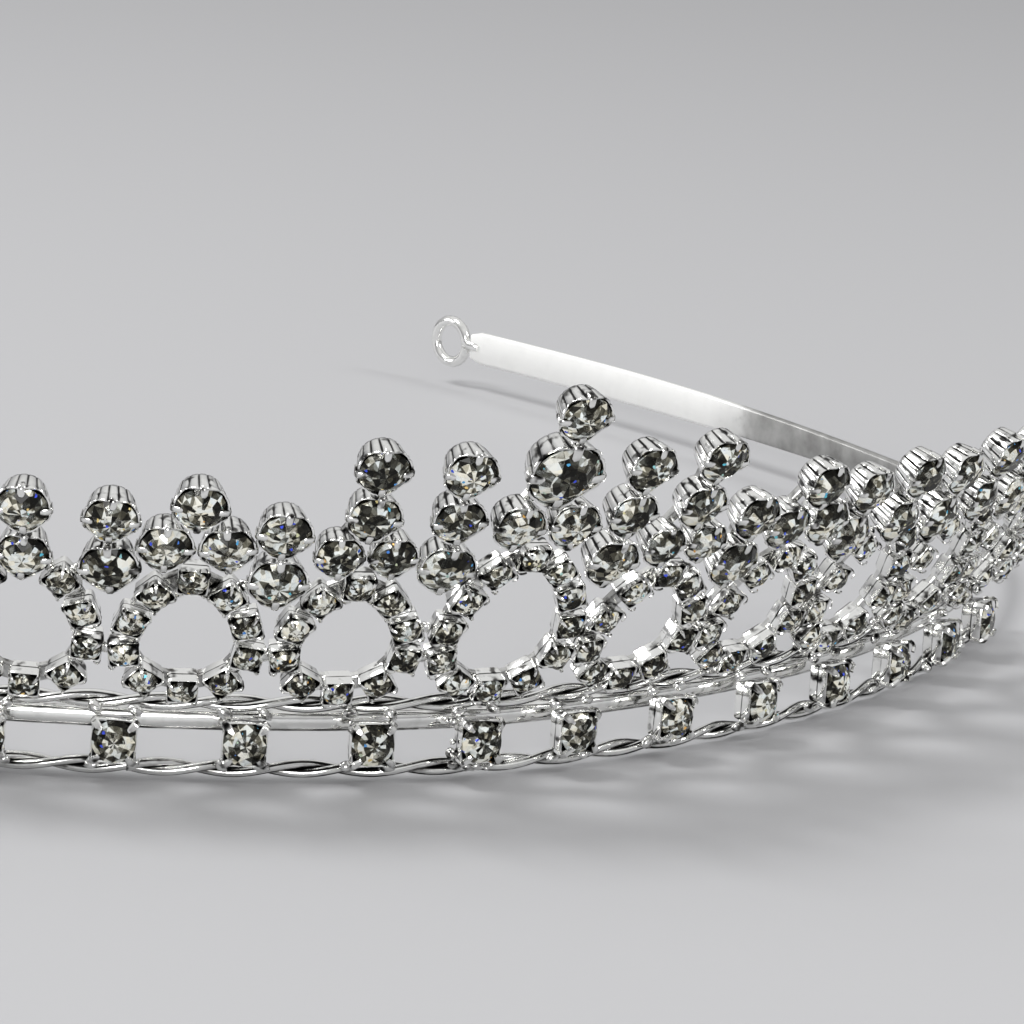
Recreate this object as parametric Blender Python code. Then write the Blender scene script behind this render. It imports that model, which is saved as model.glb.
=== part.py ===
"""Bridal tiara: a bent wire headband that carries a leaning panel of rhinestone settings.

Metres, +Z up. The front faces -Y, and the tiara lies on its lower rope at Z = 0. Places along
the tiara are given by s, the length along the band's plan from the front centre, positive to
the right, with an offset outwards from the head. Places on the leaning panel are given by x along
it, v up it and w out of its face.
"""

import functools
import math

import bmesh
import bpy
from mathutils import Matrix, Vector

MM = 0.001
COLLECTION = "bridal_tiara"

# Plan of one half, from the front centre to the end of an arm: a slight nose, the front arc
# that carries the stones, a tighter bend round the temple and the nearly straight arm.
NOSE_RADIUS = 40 * MM
NOSE_LENGTH = 5.6 * MM
FRONT_RADIUS = 88 * MM
FRONT_LENGTH = 77.6 * MM
TEMPLE_RADIUS = 33.4 * MM
TEMPLE_LENGTH = 22 * MM
ARM_RADIUS = 237 * MM
ARM_LENGTH = 63.2 * MM

# Headband: a thick wire at the front, rolled flat along the arms without losing metal.
BAND_HEIGHT = 1.5 * MM
BAND_THICKNESS = 1.2 * MM
ARM_HEIGHT = 3.2 * MM
BAND_ROLL_START = 62 * MM
BAND_ROLL_END = 150 * MM
BAND_CHAMFER = 0.3  # of the section's smaller side
BAND_STATIONS = 62
EYELET_WIRE = 1.05 * MM
EYELET_OUTSIDE = 5.2 * MM
EYELET_NECK = 0.3 * MM
EYELET_STEPS = 16

# Ropes: two strands twisted round each other.
STRAND_RADIUS = 0.31 * MM
STRAND_GAP = 0.32 * MM
ROPE_TWIST = 9.6 * MM
ROPE_STEPS_PER_TURN = 6
ROPE_MARGIN = 2.2 * MM
ROPE_SPACING = 4.55 * MM

# Panel of stones.
SEAT_GAP = 0.2 * MM
SEAT_STEP = 0.02 * MM
PANEL_LEAN = math.radians(28)
LOOP_PITCH = 10.1 * MM
LOOPS_EACH_SIDE = 6
CENTRE_LOOP_HEIGHT = 11.8 * MM
FIRST_LOOP_HEIGHT = 9.4 * MM
SECOND_LOOP_HEIGHT = 9.7 * MM
LOOP_HEIGHT = 10.8 * MM
LOOP_TAPER = 0.22
LOOP_GAP = 0.35 * MM
CHAIN_PITCH = 2.93 * MM

# Settings: half the side of a square cup, or the radius of a round one, and its depth.
CHAIN_CUP = 1.1 * MM
CHAIN_CUP_DEPTH = 1.5 * MM
BORDER_CUP = 1.6 * MM
BORDER_CUP_DEPTH = 1.7 * MM
CREST_CUP = 1.9 * MM
PAIR_CUP = 1.7 * MM
CREST_CUP_DEPTH = 1.9 * MM
JUNCTION_CUP = 2.05 * MM
CENTRE_CUP = 2.75 * MM
BORDER_FIRST = 7.4 * MM
BORDER_PITCH = 8.5 * MM
BORDERS_EACH_SIDE = 7
LINK_WIDTH = 0.9 * MM
LINK_THICKNESS = 0.5 * MM
LINK_ROOT = 0.57  # of the cup's radius, where a link's end sits inside the cup's wall

# Heights and offsets that follow from the sizes above.
TWIST_RADIUS = STRAND_RADIUS + STRAND_GAP / 2
ROPE_RADIUS = TWIST_RADIUS + STRAND_RADIUS
LOWER_ROPE_Z = ROPE_RADIUS
UPPER_ROPE_Z = LOWER_ROPE_Z + ROPE_SPACING
BAND_OFFSET = -0.95 * MM
BAND_RISE = 3.1 * MM
BAND_Z = LOWER_ROPE_Z + BAND_RISE
ARM_RISE = 0.5 * MM
BORDER_Z = (LOWER_ROPE_Z + UPPER_ROPE_Z) / 2
BORDER_BACK = 0.65 * MM
PANEL_FOOT_Z = UPPER_ROPE_Z + 0.3 * MM
PANEL_FOOT_OFFSET = 1.5 * MM
LOOP_FOOT = 1.7 * MM
RIM = 0.75 * MM
ARM_END = NOSE_LENGTH + FRONT_LENGTH + TEMPLE_LENGTH + ARM_LENGTH
ROPE_END = (LOOPS_EACH_SIDE + 0.5) * LOOP_PITCH + ROPE_MARGIN


# ------------------------------------------------------------------ scene and materials


def clear_scene():
    for obj in list(bpy.data.objects):
        bpy.data.objects.remove(obj, do_unlink=True)


def material(name, colour, metallic, roughness):
    made = bpy.data.materials.new(name)
    made.use_nodes = True
    shader = made.node_tree.nodes["Principled BSDF"]
    shader.inputs["Base Color"].default_value = (*colour, 1.0)
    shader.inputs["Metallic"].default_value = metallic
    shader.inputs["Roughness"].default_value = roughness
    return made


def place(obj, surface):
    """Puts an object in the tiara's collection, under the frame, with its material."""
    parts.objects.link(obj)
    obj.parent = tiara_frame
    obj.data.materials.append(surface)
    return obj


def mesh_object(name, bm, surface):
    bmesh.ops.recalc_face_normals(bm, faces=bm.faces)
    mesh = bpy.data.meshes.new(name)
    bm.to_mesh(mesh)
    bm.free()
    return place(bpy.data.objects.new(name, mesh), surface)


def wire_object(name, points, radius, surface, cyclic=False):
    """A round wire through the points: a poly curve with a bevel and filled caps."""
    curve = bpy.data.curves.new(name, "CURVE")
    curve.dimensions = "3D"
    curve.bevel_depth = radius
    curve.bevel_resolution = 1
    curve.use_fill_caps = True
    spline = curve.splines.new("POLY")
    spline.points.add(len(points) - 1)
    for target, point in zip(spline.points, points):
        target.co = (*point, 1.0)
    spline.use_cyclic_u = cyclic
    return place(bpy.data.objects.new(name, curve), surface)


def as_mesh(obj):
    """The object's evaluated shape as a plain mesh object of the same name, caps welded."""
    bpy.context.view_layer.update()
    graph = bpy.context.evaluated_depsgraph_get()
    mesh = bpy.data.meshes.new_from_object(obj.evaluated_get(graph))
    bm = bmesh.new()
    bm.from_mesh(mesh)
    bmesh.ops.remove_doubles(bm, verts=bm.verts, dist=1e-7)
    name, surface = obj.name, obj.data.materials[0]
    bpy.data.objects.remove(obj, do_unlink=True)
    return mesh_object(name, bm, surface)


def joined(body, *others):
    """The Boolean union of the objects, as one plain mesh under the first one's name."""
    for other in others:
        union = body.modifiers.new("join_" + other.name, "BOOLEAN")
        union.operation = "UNION"
        union.solver = "EXACT"
        union.use_self = True
        union.object = other
    result = as_mesh(body)
    for other in others:
        bpy.data.objects.remove(other, do_unlink=True)
    return result


# ------------------------------------------------------------------ plan and frames


def plan(s):
    """(point on the plan's curve, unit tangent, unit outward direction) at the length s."""
    side = -1 if s < 0 else 1
    left, heading, point = abs(s), 0.0, Vector((0, 0, 0))
    arcs = (
        (NOSE_RADIUS, NOSE_LENGTH),
        (FRONT_RADIUS, FRONT_LENGTH),
        (TEMPLE_RADIUS, TEMPLE_LENGTH),
        (ARM_RADIUS, math.inf),
    )
    for radius, length in arcs:
        step = min(left, length)
        turned = heading + step / radius
        point.x += radius * (math.sin(turned) - math.sin(heading))
        point.y += radius * (math.cos(heading) - math.cos(turned))
        left, heading = left - step, turned
    heading *= side
    point.x *= side
    tangent = Vector((math.cos(heading), math.sin(heading), 0))
    return point, tangent, Vector((tangent.y, -tangent.x, 0))


def upright(s, offset, z):
    """A frame facing outwards: X along the band, Y up, Z outwards."""
    point, tangent, outward = plan(s)
    origin = point + offset * outward + Vector((0, 0, z))
    return frame_of(origin, tangent, Vector((0, 0, 1)), outward)


def panel(s):
    """The leaning panel's frame: X along the band, Y up the panel, Z out of its face."""
    point, tangent, outward = plan(s)
    up = Vector((0, 0, math.cos(PANEL_LEAN))) + math.sin(PANEL_LEAN) * outward
    origin = point + PANEL_FOOT_OFFSET * outward + Vector((0, 0, PANEL_FOOT_Z))
    return frame_of(origin, tangent, up, tangent.cross(up))


def frame_of(origin, x, y, z):
    matrix = Matrix((x, y, z)).transposed().to_4x4()
    matrix.translation = origin
    return matrix


# ------------------------------------------------------------------ lofts


def ring(bm, frame, count, radius, height, turn=0.0):
    """Vertices round the frame's Z. radius and height are functions of the vertex's number."""
    verts = []
    for i in range(count):
        angle = 2 * math.pi * (i + turn) / count
        local = Vector((radius(i) * math.cos(angle), radius(i) * math.sin(angle), height(i)))
        verts.append(bm.verts.new(frame @ local))
    return verts


def stitch(bm, lower, upper):
    """Triangles between two rings that may differ in count, always across the shorter way."""
    i = j = 0
    while i < len(lower) or j < len(upper):
        a, b = lower[i % len(lower)], upper[j % len(upper)]
        next_a, next_b = lower[(i + 1) % len(lower)], upper[(j + 1) % len(upper)]
        along_lower = (next_a.co - b.co).length <= (next_b.co - a.co).length
        if j >= len(upper) or (i < len(lower) and along_lower):
            bm.faces.new((a, next_a, b))
            i += 1
        else:
            bm.faces.new((a, next_b, b))
            j += 1


def loft(bm, rings):
    """A closed body through the rings, from the first to the last."""
    bm.faces.new(reversed(rings[0]))
    for lower, upper in zip(rings, rings[1:]):
        stitch(bm, lower, upper)
    bm.faces.new(rings[-1])


def always(value):
    return lambda i: value


# ------------------------------------------------------------------ settings


def round_setting(bm, frame, radius, depth, hollow=False):
    """A turned-sheet cup with a scalloped rim and four prongs, and the stone that it holds.

    The rim has sixteen points: every fourth is a prong that leans in over the stone, and the
    points between rise and fall as scallops. A hollow cup leaves out its stone.
    """
    back = RIM - depth

    def rim_radius(i):
        return radius * (0.88, 0.95, 1.0, 0.95)[i % 4]

    def rim_height(i):
        return RIM + depth * (0.2, -0.08, 0.02, -0.08)[i % 4]

    rings = [
        ring(bm, frame, 8, always(0.74 * radius), always(back)),
        ring(bm, frame, 16, rim_radius, rim_height),
        ring(bm, frame, 8, always(0.8 * radius), always(RIM), turn=0.5),
    ]
    if hollow:
        rings.append(ring(bm, frame, 8, always(0.5 * radius), always(back + 0.3 * depth), turn=0.5))
    else:
        rings.append(ring(bm, frame, 8, always(0.46 * radius), always(RIM + 0.3 * depth)))
    loft(bm, rings)


def brilliant(bm, frame, radius, depth):
    """A round cut stone that drops into a hollow round setting: pavilion, girdle and crown."""
    clear = 0.8 * radius - SEAT_GAP
    floor = RIM - 0.7 * depth + SEAT_GAP
    loft(
        bm,
        [
            ring(bm, frame, 8, always(0.3 * radius), always(floor), turn=0.5),
            ring(bm, frame, 8, always(clear), always(RIM), turn=0.5),
            ring(bm, frame, 8, always(0.46 * radius), always(RIM + 0.3 * depth)),
        ],
    )


def square_setting(bm, frame, half, depth):
    """A square cup whose corners rise as prongs round a cut stone."""
    back = RIM - depth
    corner = half * math.sqrt(2)

    def rim_radius(i):
        return (0.94 * corner, half)[i % 2]

    def rim_height(i):
        return RIM + depth * (0.16, -0.12)[i % 2]

    loft(
        bm,
        [
            ring(bm, frame, 4, always(0.78 * corner), always(back), turn=0.5),
            ring(bm, frame, 8, rim_radius, rim_height, turn=1.0),
            ring(bm, frame, 8, always(0.82 * half), always(RIM), turn=0.5),
            ring(bm, frame, 8, always(0.5 * half), always(RIM + 0.28 * depth)),
        ],
    )


def chain_cup(bm, frame):
    """One cup of a chain, with its stone. The back halves of two sides stay open for the links.

    Returns the two open loops, ahead and behind along the frame's X.
    """
    corner = CHAIN_CUP * math.sqrt(2)
    back = RIM - CHAIN_CUP_DEPTH
    low = ring(bm, frame, 4, always(0.74 * corner), always(back), turn=0.5)
    middle = ring(bm, frame, 4, always(0.86 * corner), always(back + LINK_THICKNESS), turn=0.5)
    prongs = ring(bm, frame, 4, always(0.94 * corner), always(RIM + 0.15 * CHAIN_CUP_DEPTH), turn=0.5)
    girdle = ring(bm, frame, 4, always(0.84 * CHAIN_CUP), always(RIM - 0.05 * CHAIN_CUP_DEPTH))
    table = ring(bm, frame, 4, always(0.62 * CHAIN_CUP), always(RIM + 0.25 * CHAIN_CUP_DEPTH), turn=0.5)
    bm.faces.new(reversed(low))
    for i in (0, 2):
        bm.faces.new((low[i], low[i + 1], middle[i + 1], middle[i]))
    stitch(bm, middle, prongs)
    stitch(bm, prongs, girdle)
    stitch(bm, girdle, table)
    bm.faces.new(table)
    ahead = (low[3], low[0], middle[0], middle[3])
    behind = (low[2], low[1], middle[1], middle[2])
    return ahead, behind


def link(bm, ahead, behind):
    """The strip between two cups of a chain."""
    for i in range(4):
        j = (i + 1) % 4
        bm.faces.new((ahead[i], ahead[j], behind[j], behind[i]))


def close(bm, loop):
    bm.faces.new(loop)


# ------------------------------------------------------------------ loops of cup chain


def loop_height(k):
    middle_heights = (CENTRE_LOOP_HEIGHT, FIRST_LOOP_HEIGHT, SECOND_LOOP_HEIGHT)
    return middle_heights[abs(k)] if abs(k) < len(middle_heights) else LOOP_HEIGHT


def loop_top(k):
    return LOOP_FOOT + loop_height(k)


def loop_half_width(k):
    """Half the distance to the next loop outwards, and for the centre loop what is left."""
    waist = Vector((0, LOOP_FOOT + loop_height(k) / 2, 0))
    k = abs(k)
    here, after = panel(k * LOOP_PITCH) @ waist, panel((k + 1) * LOOP_PITCH) @ waist
    room = (after - here).length - 2 * CHAIN_CUP - LOOP_GAP
    return room / 2 if k else room - loop_half_width(1)


def loop_path(k, steps=240):
    """Points of a loop on the panel from its foot, anticlockwise: an egg, narrow end up."""
    half = loop_half_width(k)
    points = []
    for i in range(steps):
        t = 2 * math.pi * i / steps
        x = half * math.sin(t) * (1 + LOOP_TAPER * math.cos(t))
        v = LOOP_FOOT + loop_height(k) / 2 * (1 - math.cos(t))
        points.append(Vector((x, v, 0)))
    return points


def evenly_along(points, count):
    """count (point, direction) pairs at equal steps along the closed line, from its start."""
    closed = points + points[:1]
    lengths = [0.0]
    for a, b in zip(closed, closed[1:]):
        lengths.append(lengths[-1] + (b - a).length)
    found, i = [], 0
    for n in range(count):
        target = lengths[-1] * n / count
        while lengths[i + 1] <= target:
            i += 1
        share = (target - lengths[i]) / (lengths[i + 1] - lengths[i])
        before, after = closed[i - 1 if i else -2], closed[i + 1]
        found.append((closed[i].lerp(closed[i + 1], share), (after - before).normalized()))
    return found


def has_apex_cup(k):
    """The outer loops end in a round cup, so their chain is open at the top."""
    return abs(k) > 2


@functools.cache
def loop_cups(k):
    """The cups' frames round a loop, on its panel. The place of an apex cup stays None."""
    path = loop_path(k)
    round_the_loop = sum((b - a).length for a, b in zip(path, path[1:] + path[:1]))
    count = 2 * round(round_the_loop / CHAIN_PITCH / 2)
    cups = []
    for point, direction in evenly_along(path, count):
        across = Vector((-direction.y, direction.x, 0))
        cups.append(frame_of(point, direction, across, Vector((0, 0, 1))))
    if has_apex_cup(k):
        cups[count // 2] = None
    return cups


def square_outline(share):
    """A point of the square of half-side 1, a share of the way round it."""
    angle = 2 * math.pi * share
    reach = max(abs(math.cos(angle)), abs(math.sin(angle)))
    return math.cos(angle) / reach, math.sin(angle) / reach


def seat_above(k, radius, loops):
    """The lowest height on the panel of k where a round cup clears the cups of these loops."""
    inverse = panel(k * LOOP_PITCH).inverted()
    sides = []
    for loop in loops:
        for cup in filter(None, loop_cups(loop)):
            frame = inverse @ panel(loop * LOOP_PITCH) @ cup
            for i in range(16):
                x, y = square_outline(i / 16)
                sides.append((frame @ Vector((CHAIN_CUP * x, CHAIN_CUP * y, RIM))).xy)
    v = max(side.y for side in sides) + radius + SEAT_GAP
    while min((side - Vector((0, v - SEAT_STEP))).length for side in sides) > radius + SEAT_GAP:
        v -= SEAT_STEP
    return v


def make_loop(k):
    """One loop: a ring of square cups joined by links, its foot in front of the upper rope."""
    frame = panel(k * LOOP_PITCH)
    bm = bmesh.new()
    ends = [cup and chain_cup(bm, frame @ cup) for cup in loop_cups(k)]
    for here, after in zip(ends, ends[1:] + ends[:1]):
        if here and after:
            link(bm, here[0], after[1])
        elif here:
            close(bm, here[0])
        elif after:
            close(bm, after[1])
    return mesh_object(f"loop_{label(k)}", bm, silver)


def label(k):
    """left_3, centre or right_3."""
    if k == 0:
        return "centre"
    return ("right_" if k > 0 else "left_") + str(math.ceil(abs(k)))


# ------------------------------------------------------------------ crests and junctions


def cluster(name, frame, cups, links):
    """Round settings soldered into one piece by links behind them."""
    bm = bmesh.new()
    for x, v, radius, hollow in cups:
        round_setting(bm, frame @ Matrix.Translation((x, v, 0)), radius, cup_depth(radius), hollow)
    body = mesh_object(name, bm, silver)
    if not links:
        return body
    bars = bmesh.new()
    for a, b in links:
        start, end = Vector(cups[a][:2]), Vector(cups[b][:2])
        along = (end - start).normalized()
        start += LINK_ROOT * cups[a][2] * along
        end -= LINK_ROOT * cups[b][2] * along
        middle = (start + end) / 2
        turn = Matrix.Rotation(math.atan2(along.y, along.x), 4, "Z")
        size = Matrix.Diagonal(((end - start).length, LINK_WIDTH, LINK_THICKNESS, 1))
        height = RIM - CREST_CUP_DEPTH + LINK_THICKNESS
        matrix = frame @ Matrix.Translation((middle.x, middle.y, height)) @ turn @ size
        bmesh.ops.create_cube(bars, size=1.0, matrix=matrix)
    return joined(body, mesh_object(name + "_links", bars, silver))


def cup_depth(radius):
    """A larger cup is a little deeper."""
    return CREST_CUP_DEPTH * (0.6 + 0.4 * radius / CREST_CUP)


def stacked(v, lower, upper):
    """The height of a round cup that stands on another one at v."""
    return v + lower + upper + SEAT_GAP


def nested(v, lower, upper, aside):
    """The height of a round cup that rests between two others that stand aside at v."""
    return v + math.sqrt((lower + upper + SEAT_GAP) ** 2 - aside**2)


def crest_cups(k):
    """(x, v, radius, hollow) of a crest's cups from its lowest, and the pairs that are linked."""
    top = loop_top(k)
    if has_apex_cup(k):
        apex = seat_above(k, CREST_CUP, (k,))
        cups = [(0, apex, CREST_CUP, False)]
        if abs(k) < LOOPS_EACH_SIDE:
            cups.append((0, stacked(apex, CREST_CUP, CREST_CUP), CREST_CUP, False))
        return cups, [(0, 1)][: len(cups) - 1]
    lower = PAIR_CUP if abs(k) == 1 else CREST_CUP
    aside = lower + SEAT_GAP / 2
    reach = lower + SEAT_GAP
    pair = top + CHAIN_CUP + math.sqrt(reach**2 - (aside - CHAIN_CUP) ** 2)
    cups = [(-aside, pair, lower, False), (aside, pair, lower, False)]
    if k == 0:
        large = nested(pair, lower, CENTRE_CUP, aside)
        cups.append((0, large, CENTRE_CUP, True))
        cups.append((0, stacked(large, CENTRE_CUP, CREST_CUP), CREST_CUP, True))
        return cups, [(0, 2), (1, 2), (2, 3)]
    third = nested(pair, lower, CREST_CUP, aside)
    cups.append((0, third, CREST_CUP, False))
    if abs(k) == 1:
        cups.append((0, stacked(third, CREST_CUP, CREST_CUP), CREST_CUP, False))
    return cups, [(0, 2), (1, 2), (2, 3)][: len(cups) - 1]


def junction_cups(k):
    """The cups over the gap between two loops: a larger one, and one or two above it."""
    v = seat_above(k, JUNCTION_CUP, (math.floor(k), math.ceil(k)))
    cups = [(0, v, JUNCTION_CUP, False)]
    below = JUNCTION_CUP
    for _ in range(2 if abs(k) < 1 else 1):
        v = stacked(v, below, CREST_CUP)
        below = CREST_CUP
        cups.append((0, v, CREST_CUP, False))
    return cups, [(i, i + 1) for i in range(len(cups) - 1)]


def make_crest(k):
    cups, links = crest_cups(k)
    frame = panel(k * LOOP_PITCH)
    cluster(f"crest_{label(k)}", frame, cups, links)
    names = iter(("centre_stone", "crown_stone"))
    for x, v, radius, hollow in cups:
        if hollow:
            bm = bmesh.new()
            brilliant(bm, frame @ Matrix.Translation((x, v, 0)), radius, cup_depth(radius))
            mesh_object(next(names), bm, crystal)


# ------------------------------------------------------------------ border between the ropes


def make_border(j):
    """A square cup between the ropes. The front one has a foot that stands with the rope."""
    s = math.copysign(BORDER_FIRST + (abs(j) - 1) * BORDER_PITCH, j) if j else 0.0
    frame = upright(s, BORDER_BACK + BORDER_CUP_DEPTH - RIM, BORDER_Z)
    bm = bmesh.new()
    square_setting(bm, frame, BORDER_CUP, BORDER_CUP_DEPTH)
    name = f"border_{label(j)}"
    body = mesh_object(name, bm, silver)
    if j:
        return body
    foot = bmesh.new()
    bottom, top = -BORDER_Z, -0.7 * BORDER_CUP
    size = Matrix.Diagonal((LINK_WIDTH * 2, top - bottom, LINK_THICKNESS, 1))
    place_at = Matrix.Translation((0, (top + bottom) / 2, 0.2 * BORDER_CUP_DEPTH))
    bmesh.ops.create_cube(foot, size=1.0, matrix=frame @ place_at @ size)
    return joined(body, mesh_object(name + "_foot", foot, silver))


# ------------------------------------------------------------------ ropes and headband


def make_strand(name, z, phase):
    """One strand of a rope, a helix about the rope's line."""
    step = ROPE_TWIST / ROPE_STEPS_PER_TURN
    count = math.floor(2 * ROPE_END / step)
    points = []
    for i in range(count + 1):
        s = (i - count / 2) * step
        angle = 2 * math.pi * s / ROPE_TWIST + phase
        point, _, outward = plan(s)
        swing = Vector((0, 0, z + TWIST_RADIUS * math.sin(angle)))
        points.append(point + swing + TWIST_RADIUS * math.cos(angle) * outward)
    return wire_object(name, points, STRAND_RADIUS, silver)


def band_section(s):
    """(height, thickness, centre's height) of the headband at s."""
    share = (abs(s) - BAND_ROLL_START) / (BAND_ROLL_END - BAND_ROLL_START)
    share = min(max(share, 0.0), 1.0)
    eased = share * share * (3 - 2 * share)
    height = BAND_HEIGHT + (ARM_HEIGHT - BAND_HEIGHT) * eased
    return height, BAND_HEIGHT * BAND_THICKNESS / height, BAND_Z + ARM_RISE * eased


def make_headband():
    """The wire headband: a loft of chamfered sections, with an eyelet at each end."""
    bm = bmesh.new()
    rings = []
    for i in range(BAND_STATIONS + 1):
        s = (2 * i / BAND_STATIONS - 1) * ARM_END
        height, thickness, z = band_section(s)
        cut = BAND_CHAMFER * min(height, thickness)
        frame = upright(s, BAND_OFFSET, z)
        corners = []
        for up, out in ((1, 1), (1, -1), (-1, -1), (-1, 1)):
            on_edge = Vector((0, up * height / 2, out * (thickness / 2 - cut)))
            on_side = Vector((0, up * (height / 2 - cut), out * thickness / 2))
            corners += (on_side, on_edge) if up * out > 0 else (on_edge, on_side)
        rings.append([bm.verts.new(frame @ corner) for corner in corners])
    loft(bm, rings)
    band = mesh_object("headband", bm, silver)
    return joined(band, make_eyelet("left_eyelet", -1), make_eyelet("right_eyelet", 1))


def make_eyelet(name, side):
    """The wire's end, bent round into an eye in the plane of the arm."""
    _, _, z = band_section(ARM_END)
    frame = upright(side * ARM_END, BAND_OFFSET, z)
    radius = (EYELET_OUTSIDE - EYELET_WIRE) / 2
    middle = side * (EYELET_NECK + radius + EYELET_WIRE / 2)
    points = [frame @ Vector((-side * EYELET_WIRE, 0, 0))]
    for i in range(EYELET_STEPS):
        angle = 2 * math.pi * i / EYELET_STEPS
        local = Vector((middle - side * radius * math.cos(angle), radius * math.sin(angle), 0))
        points.append(frame @ local)
    return as_mesh(wire_object(name, points, EYELET_WIRE / 2, silver))


# ------------------------------------------------------------------ the tiara


def stand_on_origin():
    """Moves the whole tiara so that its box stands on the origin by the middle of its base."""
    bpy.context.view_layer.update()
    graph = bpy.context.evaluated_depsgraph_get()
    low, high = Vector((math.inf,) * 3), Vector((-math.inf,) * 3)
    for obj in parts.objects:
        if obj == tiara_frame:
            continue
        for vertex in obj.evaluated_get(graph).to_mesh().vertices:
            low = Vector(map(min, low, vertex.co))
            high = Vector(map(max, high, vertex.co))
    tiara_frame.location = Vector((-(low.x + high.x) / 2, -(low.y + high.y) / 2, -low.z))


clear_scene()
parts = bpy.data.collections.new(COLLECTION)
bpy.context.scene.collection.children.link(parts)
tiara_frame = bpy.data.objects.new("tiara_frame", None)
parts.objects.link(tiara_frame)
silver = material("silver_plate", (0.86, 0.86, 0.85), 1.0, 0.14)
crystal = material("crystal", (0.92, 0.92, 0.92), 0.0, 0.03)

make_headband()
for rope, rope_z in (("lower_rope", LOWER_ROPE_Z), ("upper_rope", UPPER_ROPE_Z)):
    make_strand(rope + "_strand_a", rope_z, 0.0)
    make_strand(rope + "_strand_b", rope_z, math.pi)
for k in range(-LOOPS_EACH_SIDE, LOOPS_EACH_SIDE + 1):
    make_loop(k)
    make_crest(k)
for k in range(-LOOPS_EACH_SIDE, LOOPS_EACH_SIDE):
    cups, links = junction_cups(k + 0.5)
    cluster(f"junction_{label(k + 0.5)}", panel((k + 0.5) * LOOP_PITCH), cups, links)
for j in range(-BORDERS_EACH_SIDE, BORDERS_EACH_SIDE + 1):
    make_border(j)
stand_on_origin()
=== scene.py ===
# %% [markdown]
# # A bridal tiara
#
# A bent wire headband carries a panel of rhinestones: a border of square settings between two
# twisted ropes, a row of loops made of cup chain, and crests of round settings over them. The
# packed CAD model is the frame, and every piece here is finished detail that stands where the
# CAD says. Lengths are in metres, as in the frame.

import math
import random

import bmesh
import bpy
from mathutils import Matrix, Vector


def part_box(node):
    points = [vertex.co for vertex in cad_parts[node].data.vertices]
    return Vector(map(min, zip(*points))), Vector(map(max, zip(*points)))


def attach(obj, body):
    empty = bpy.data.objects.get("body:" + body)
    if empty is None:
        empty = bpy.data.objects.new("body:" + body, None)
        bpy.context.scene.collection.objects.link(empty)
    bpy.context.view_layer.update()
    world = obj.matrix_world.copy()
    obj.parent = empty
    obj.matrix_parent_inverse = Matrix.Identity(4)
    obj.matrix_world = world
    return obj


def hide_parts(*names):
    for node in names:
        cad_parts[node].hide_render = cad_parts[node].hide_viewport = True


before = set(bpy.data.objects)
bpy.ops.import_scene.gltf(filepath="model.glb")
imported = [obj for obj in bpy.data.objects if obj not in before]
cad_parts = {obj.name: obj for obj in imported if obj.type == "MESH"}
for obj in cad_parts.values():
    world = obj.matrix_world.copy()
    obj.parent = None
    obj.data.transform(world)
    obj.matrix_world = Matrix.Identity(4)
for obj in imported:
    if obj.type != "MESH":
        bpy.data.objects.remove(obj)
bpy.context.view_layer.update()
nodes = sorted(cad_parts)

MM = 0.001
rng = random.Random(7)  # one stream of chance for all that a hand leaves uneven

# %% [markdown]
# ## The plan of the headband
#
# Every piece of a tiara is placed along its headband, so the first helper answers one question:
# where is the point at the length s from the front centre, and which way is outwards? The band
# is four arcs on each side: a slight nose, the long front, the bend round the temple and the
# nearly straight arm. A spline would do as well, but arcs are what a bending jig makes, and
# they give the direction exactly.

# %% Plan of the band
# Each arc is (radius, length).
NOSE = (40 * MM, 5.6 * MM)
FRONT = (88 * MM, 77.6 * MM)
TEMPLE = (33.4 * MM, 22 * MM)
ARM = (237 * MM, 63.2 * MM)
ARM_END = NOSE[1] + FRONT[1] + TEMPLE[1] + ARM[1]
BAND_OFFSET = -0.95 * MM
BAND_HEIGHT, BAND_THICKNESS, ARM_HEIGHT = 1.5 * MM, 1.2 * MM, 3.2 * MM
BAND_ROLL = (62 * MM, 150 * MM)
BAND_FRONT = BAND_OFFSET + BAND_THICKNESS / 2

# The frame's origin is the middle of the whole box, so the plan's own origin is found from the
# front of the headband.
plan_start = Vector((0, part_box("headband")[0][1] + BAND_FRONT, 0))


def plan(s):
    """(point on the plan's curve, unit tangent, unit outward direction) at the length s."""
    side = -1 if s < 0 else 1
    left, heading, point = abs(s), 0.0, Vector((0, 0, 0))
    for radius, length in (NOSE, FRONT, TEMPLE, (ARM[0], math.inf)):
        step = min(left, length)
        turned = heading + step / radius
        point.x += radius * (math.sin(turned) - math.sin(heading))
        point.y += radius * (math.cos(heading) - math.cos(turned))
        left, heading = left - step, turned
    heading *= side
    point.x *= side
    tangent = Vector((math.cos(heading), math.sin(heading), 0))
    return plan_start + point, tangent, Vector((tangent.y, -tangent.x, 0))


def frame_of(origin, x, y, z):
    matrix = Matrix((x, y, z)).transposed().to_4x4()
    matrix.translation = origin
    return matrix


def upright(s, offset, z):
    """A frame facing outwards: X along the band, Y up, Z outwards."""
    point, tangent, outward = plan(s)
    return frame_of(point + offset * outward + Vector((0, 0, z)), tangent, Vector((0, 0, 1)), outward)


print("plan ends at", [round(c / MM, 1) for c in plan(ARM_END)[0]], "mm")

# %% [markdown]
# ## Camera
#
# A long lens from the wearer's right front, low over the table, fills the picture with the
# front of the tiara and lets the other arm's end show behind it. The camera's direction is given
# by its turn, its tilt and its roll, which build its rotation matrix column by column.

# %% Camera
TURN, TILT, ROLL = (math.radians(a) for a in (-26.11, 12.81, 4.09))
FOCAL = 4200 / 1024  # focal length over the picture's width
TABLE_TO_ROPE = 0.72 * MM
eye = Vector((-119.8, -248.9, 82.2)) * MM + plan_start - Vector((0, 0, TABLE_TO_ROPE))


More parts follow.
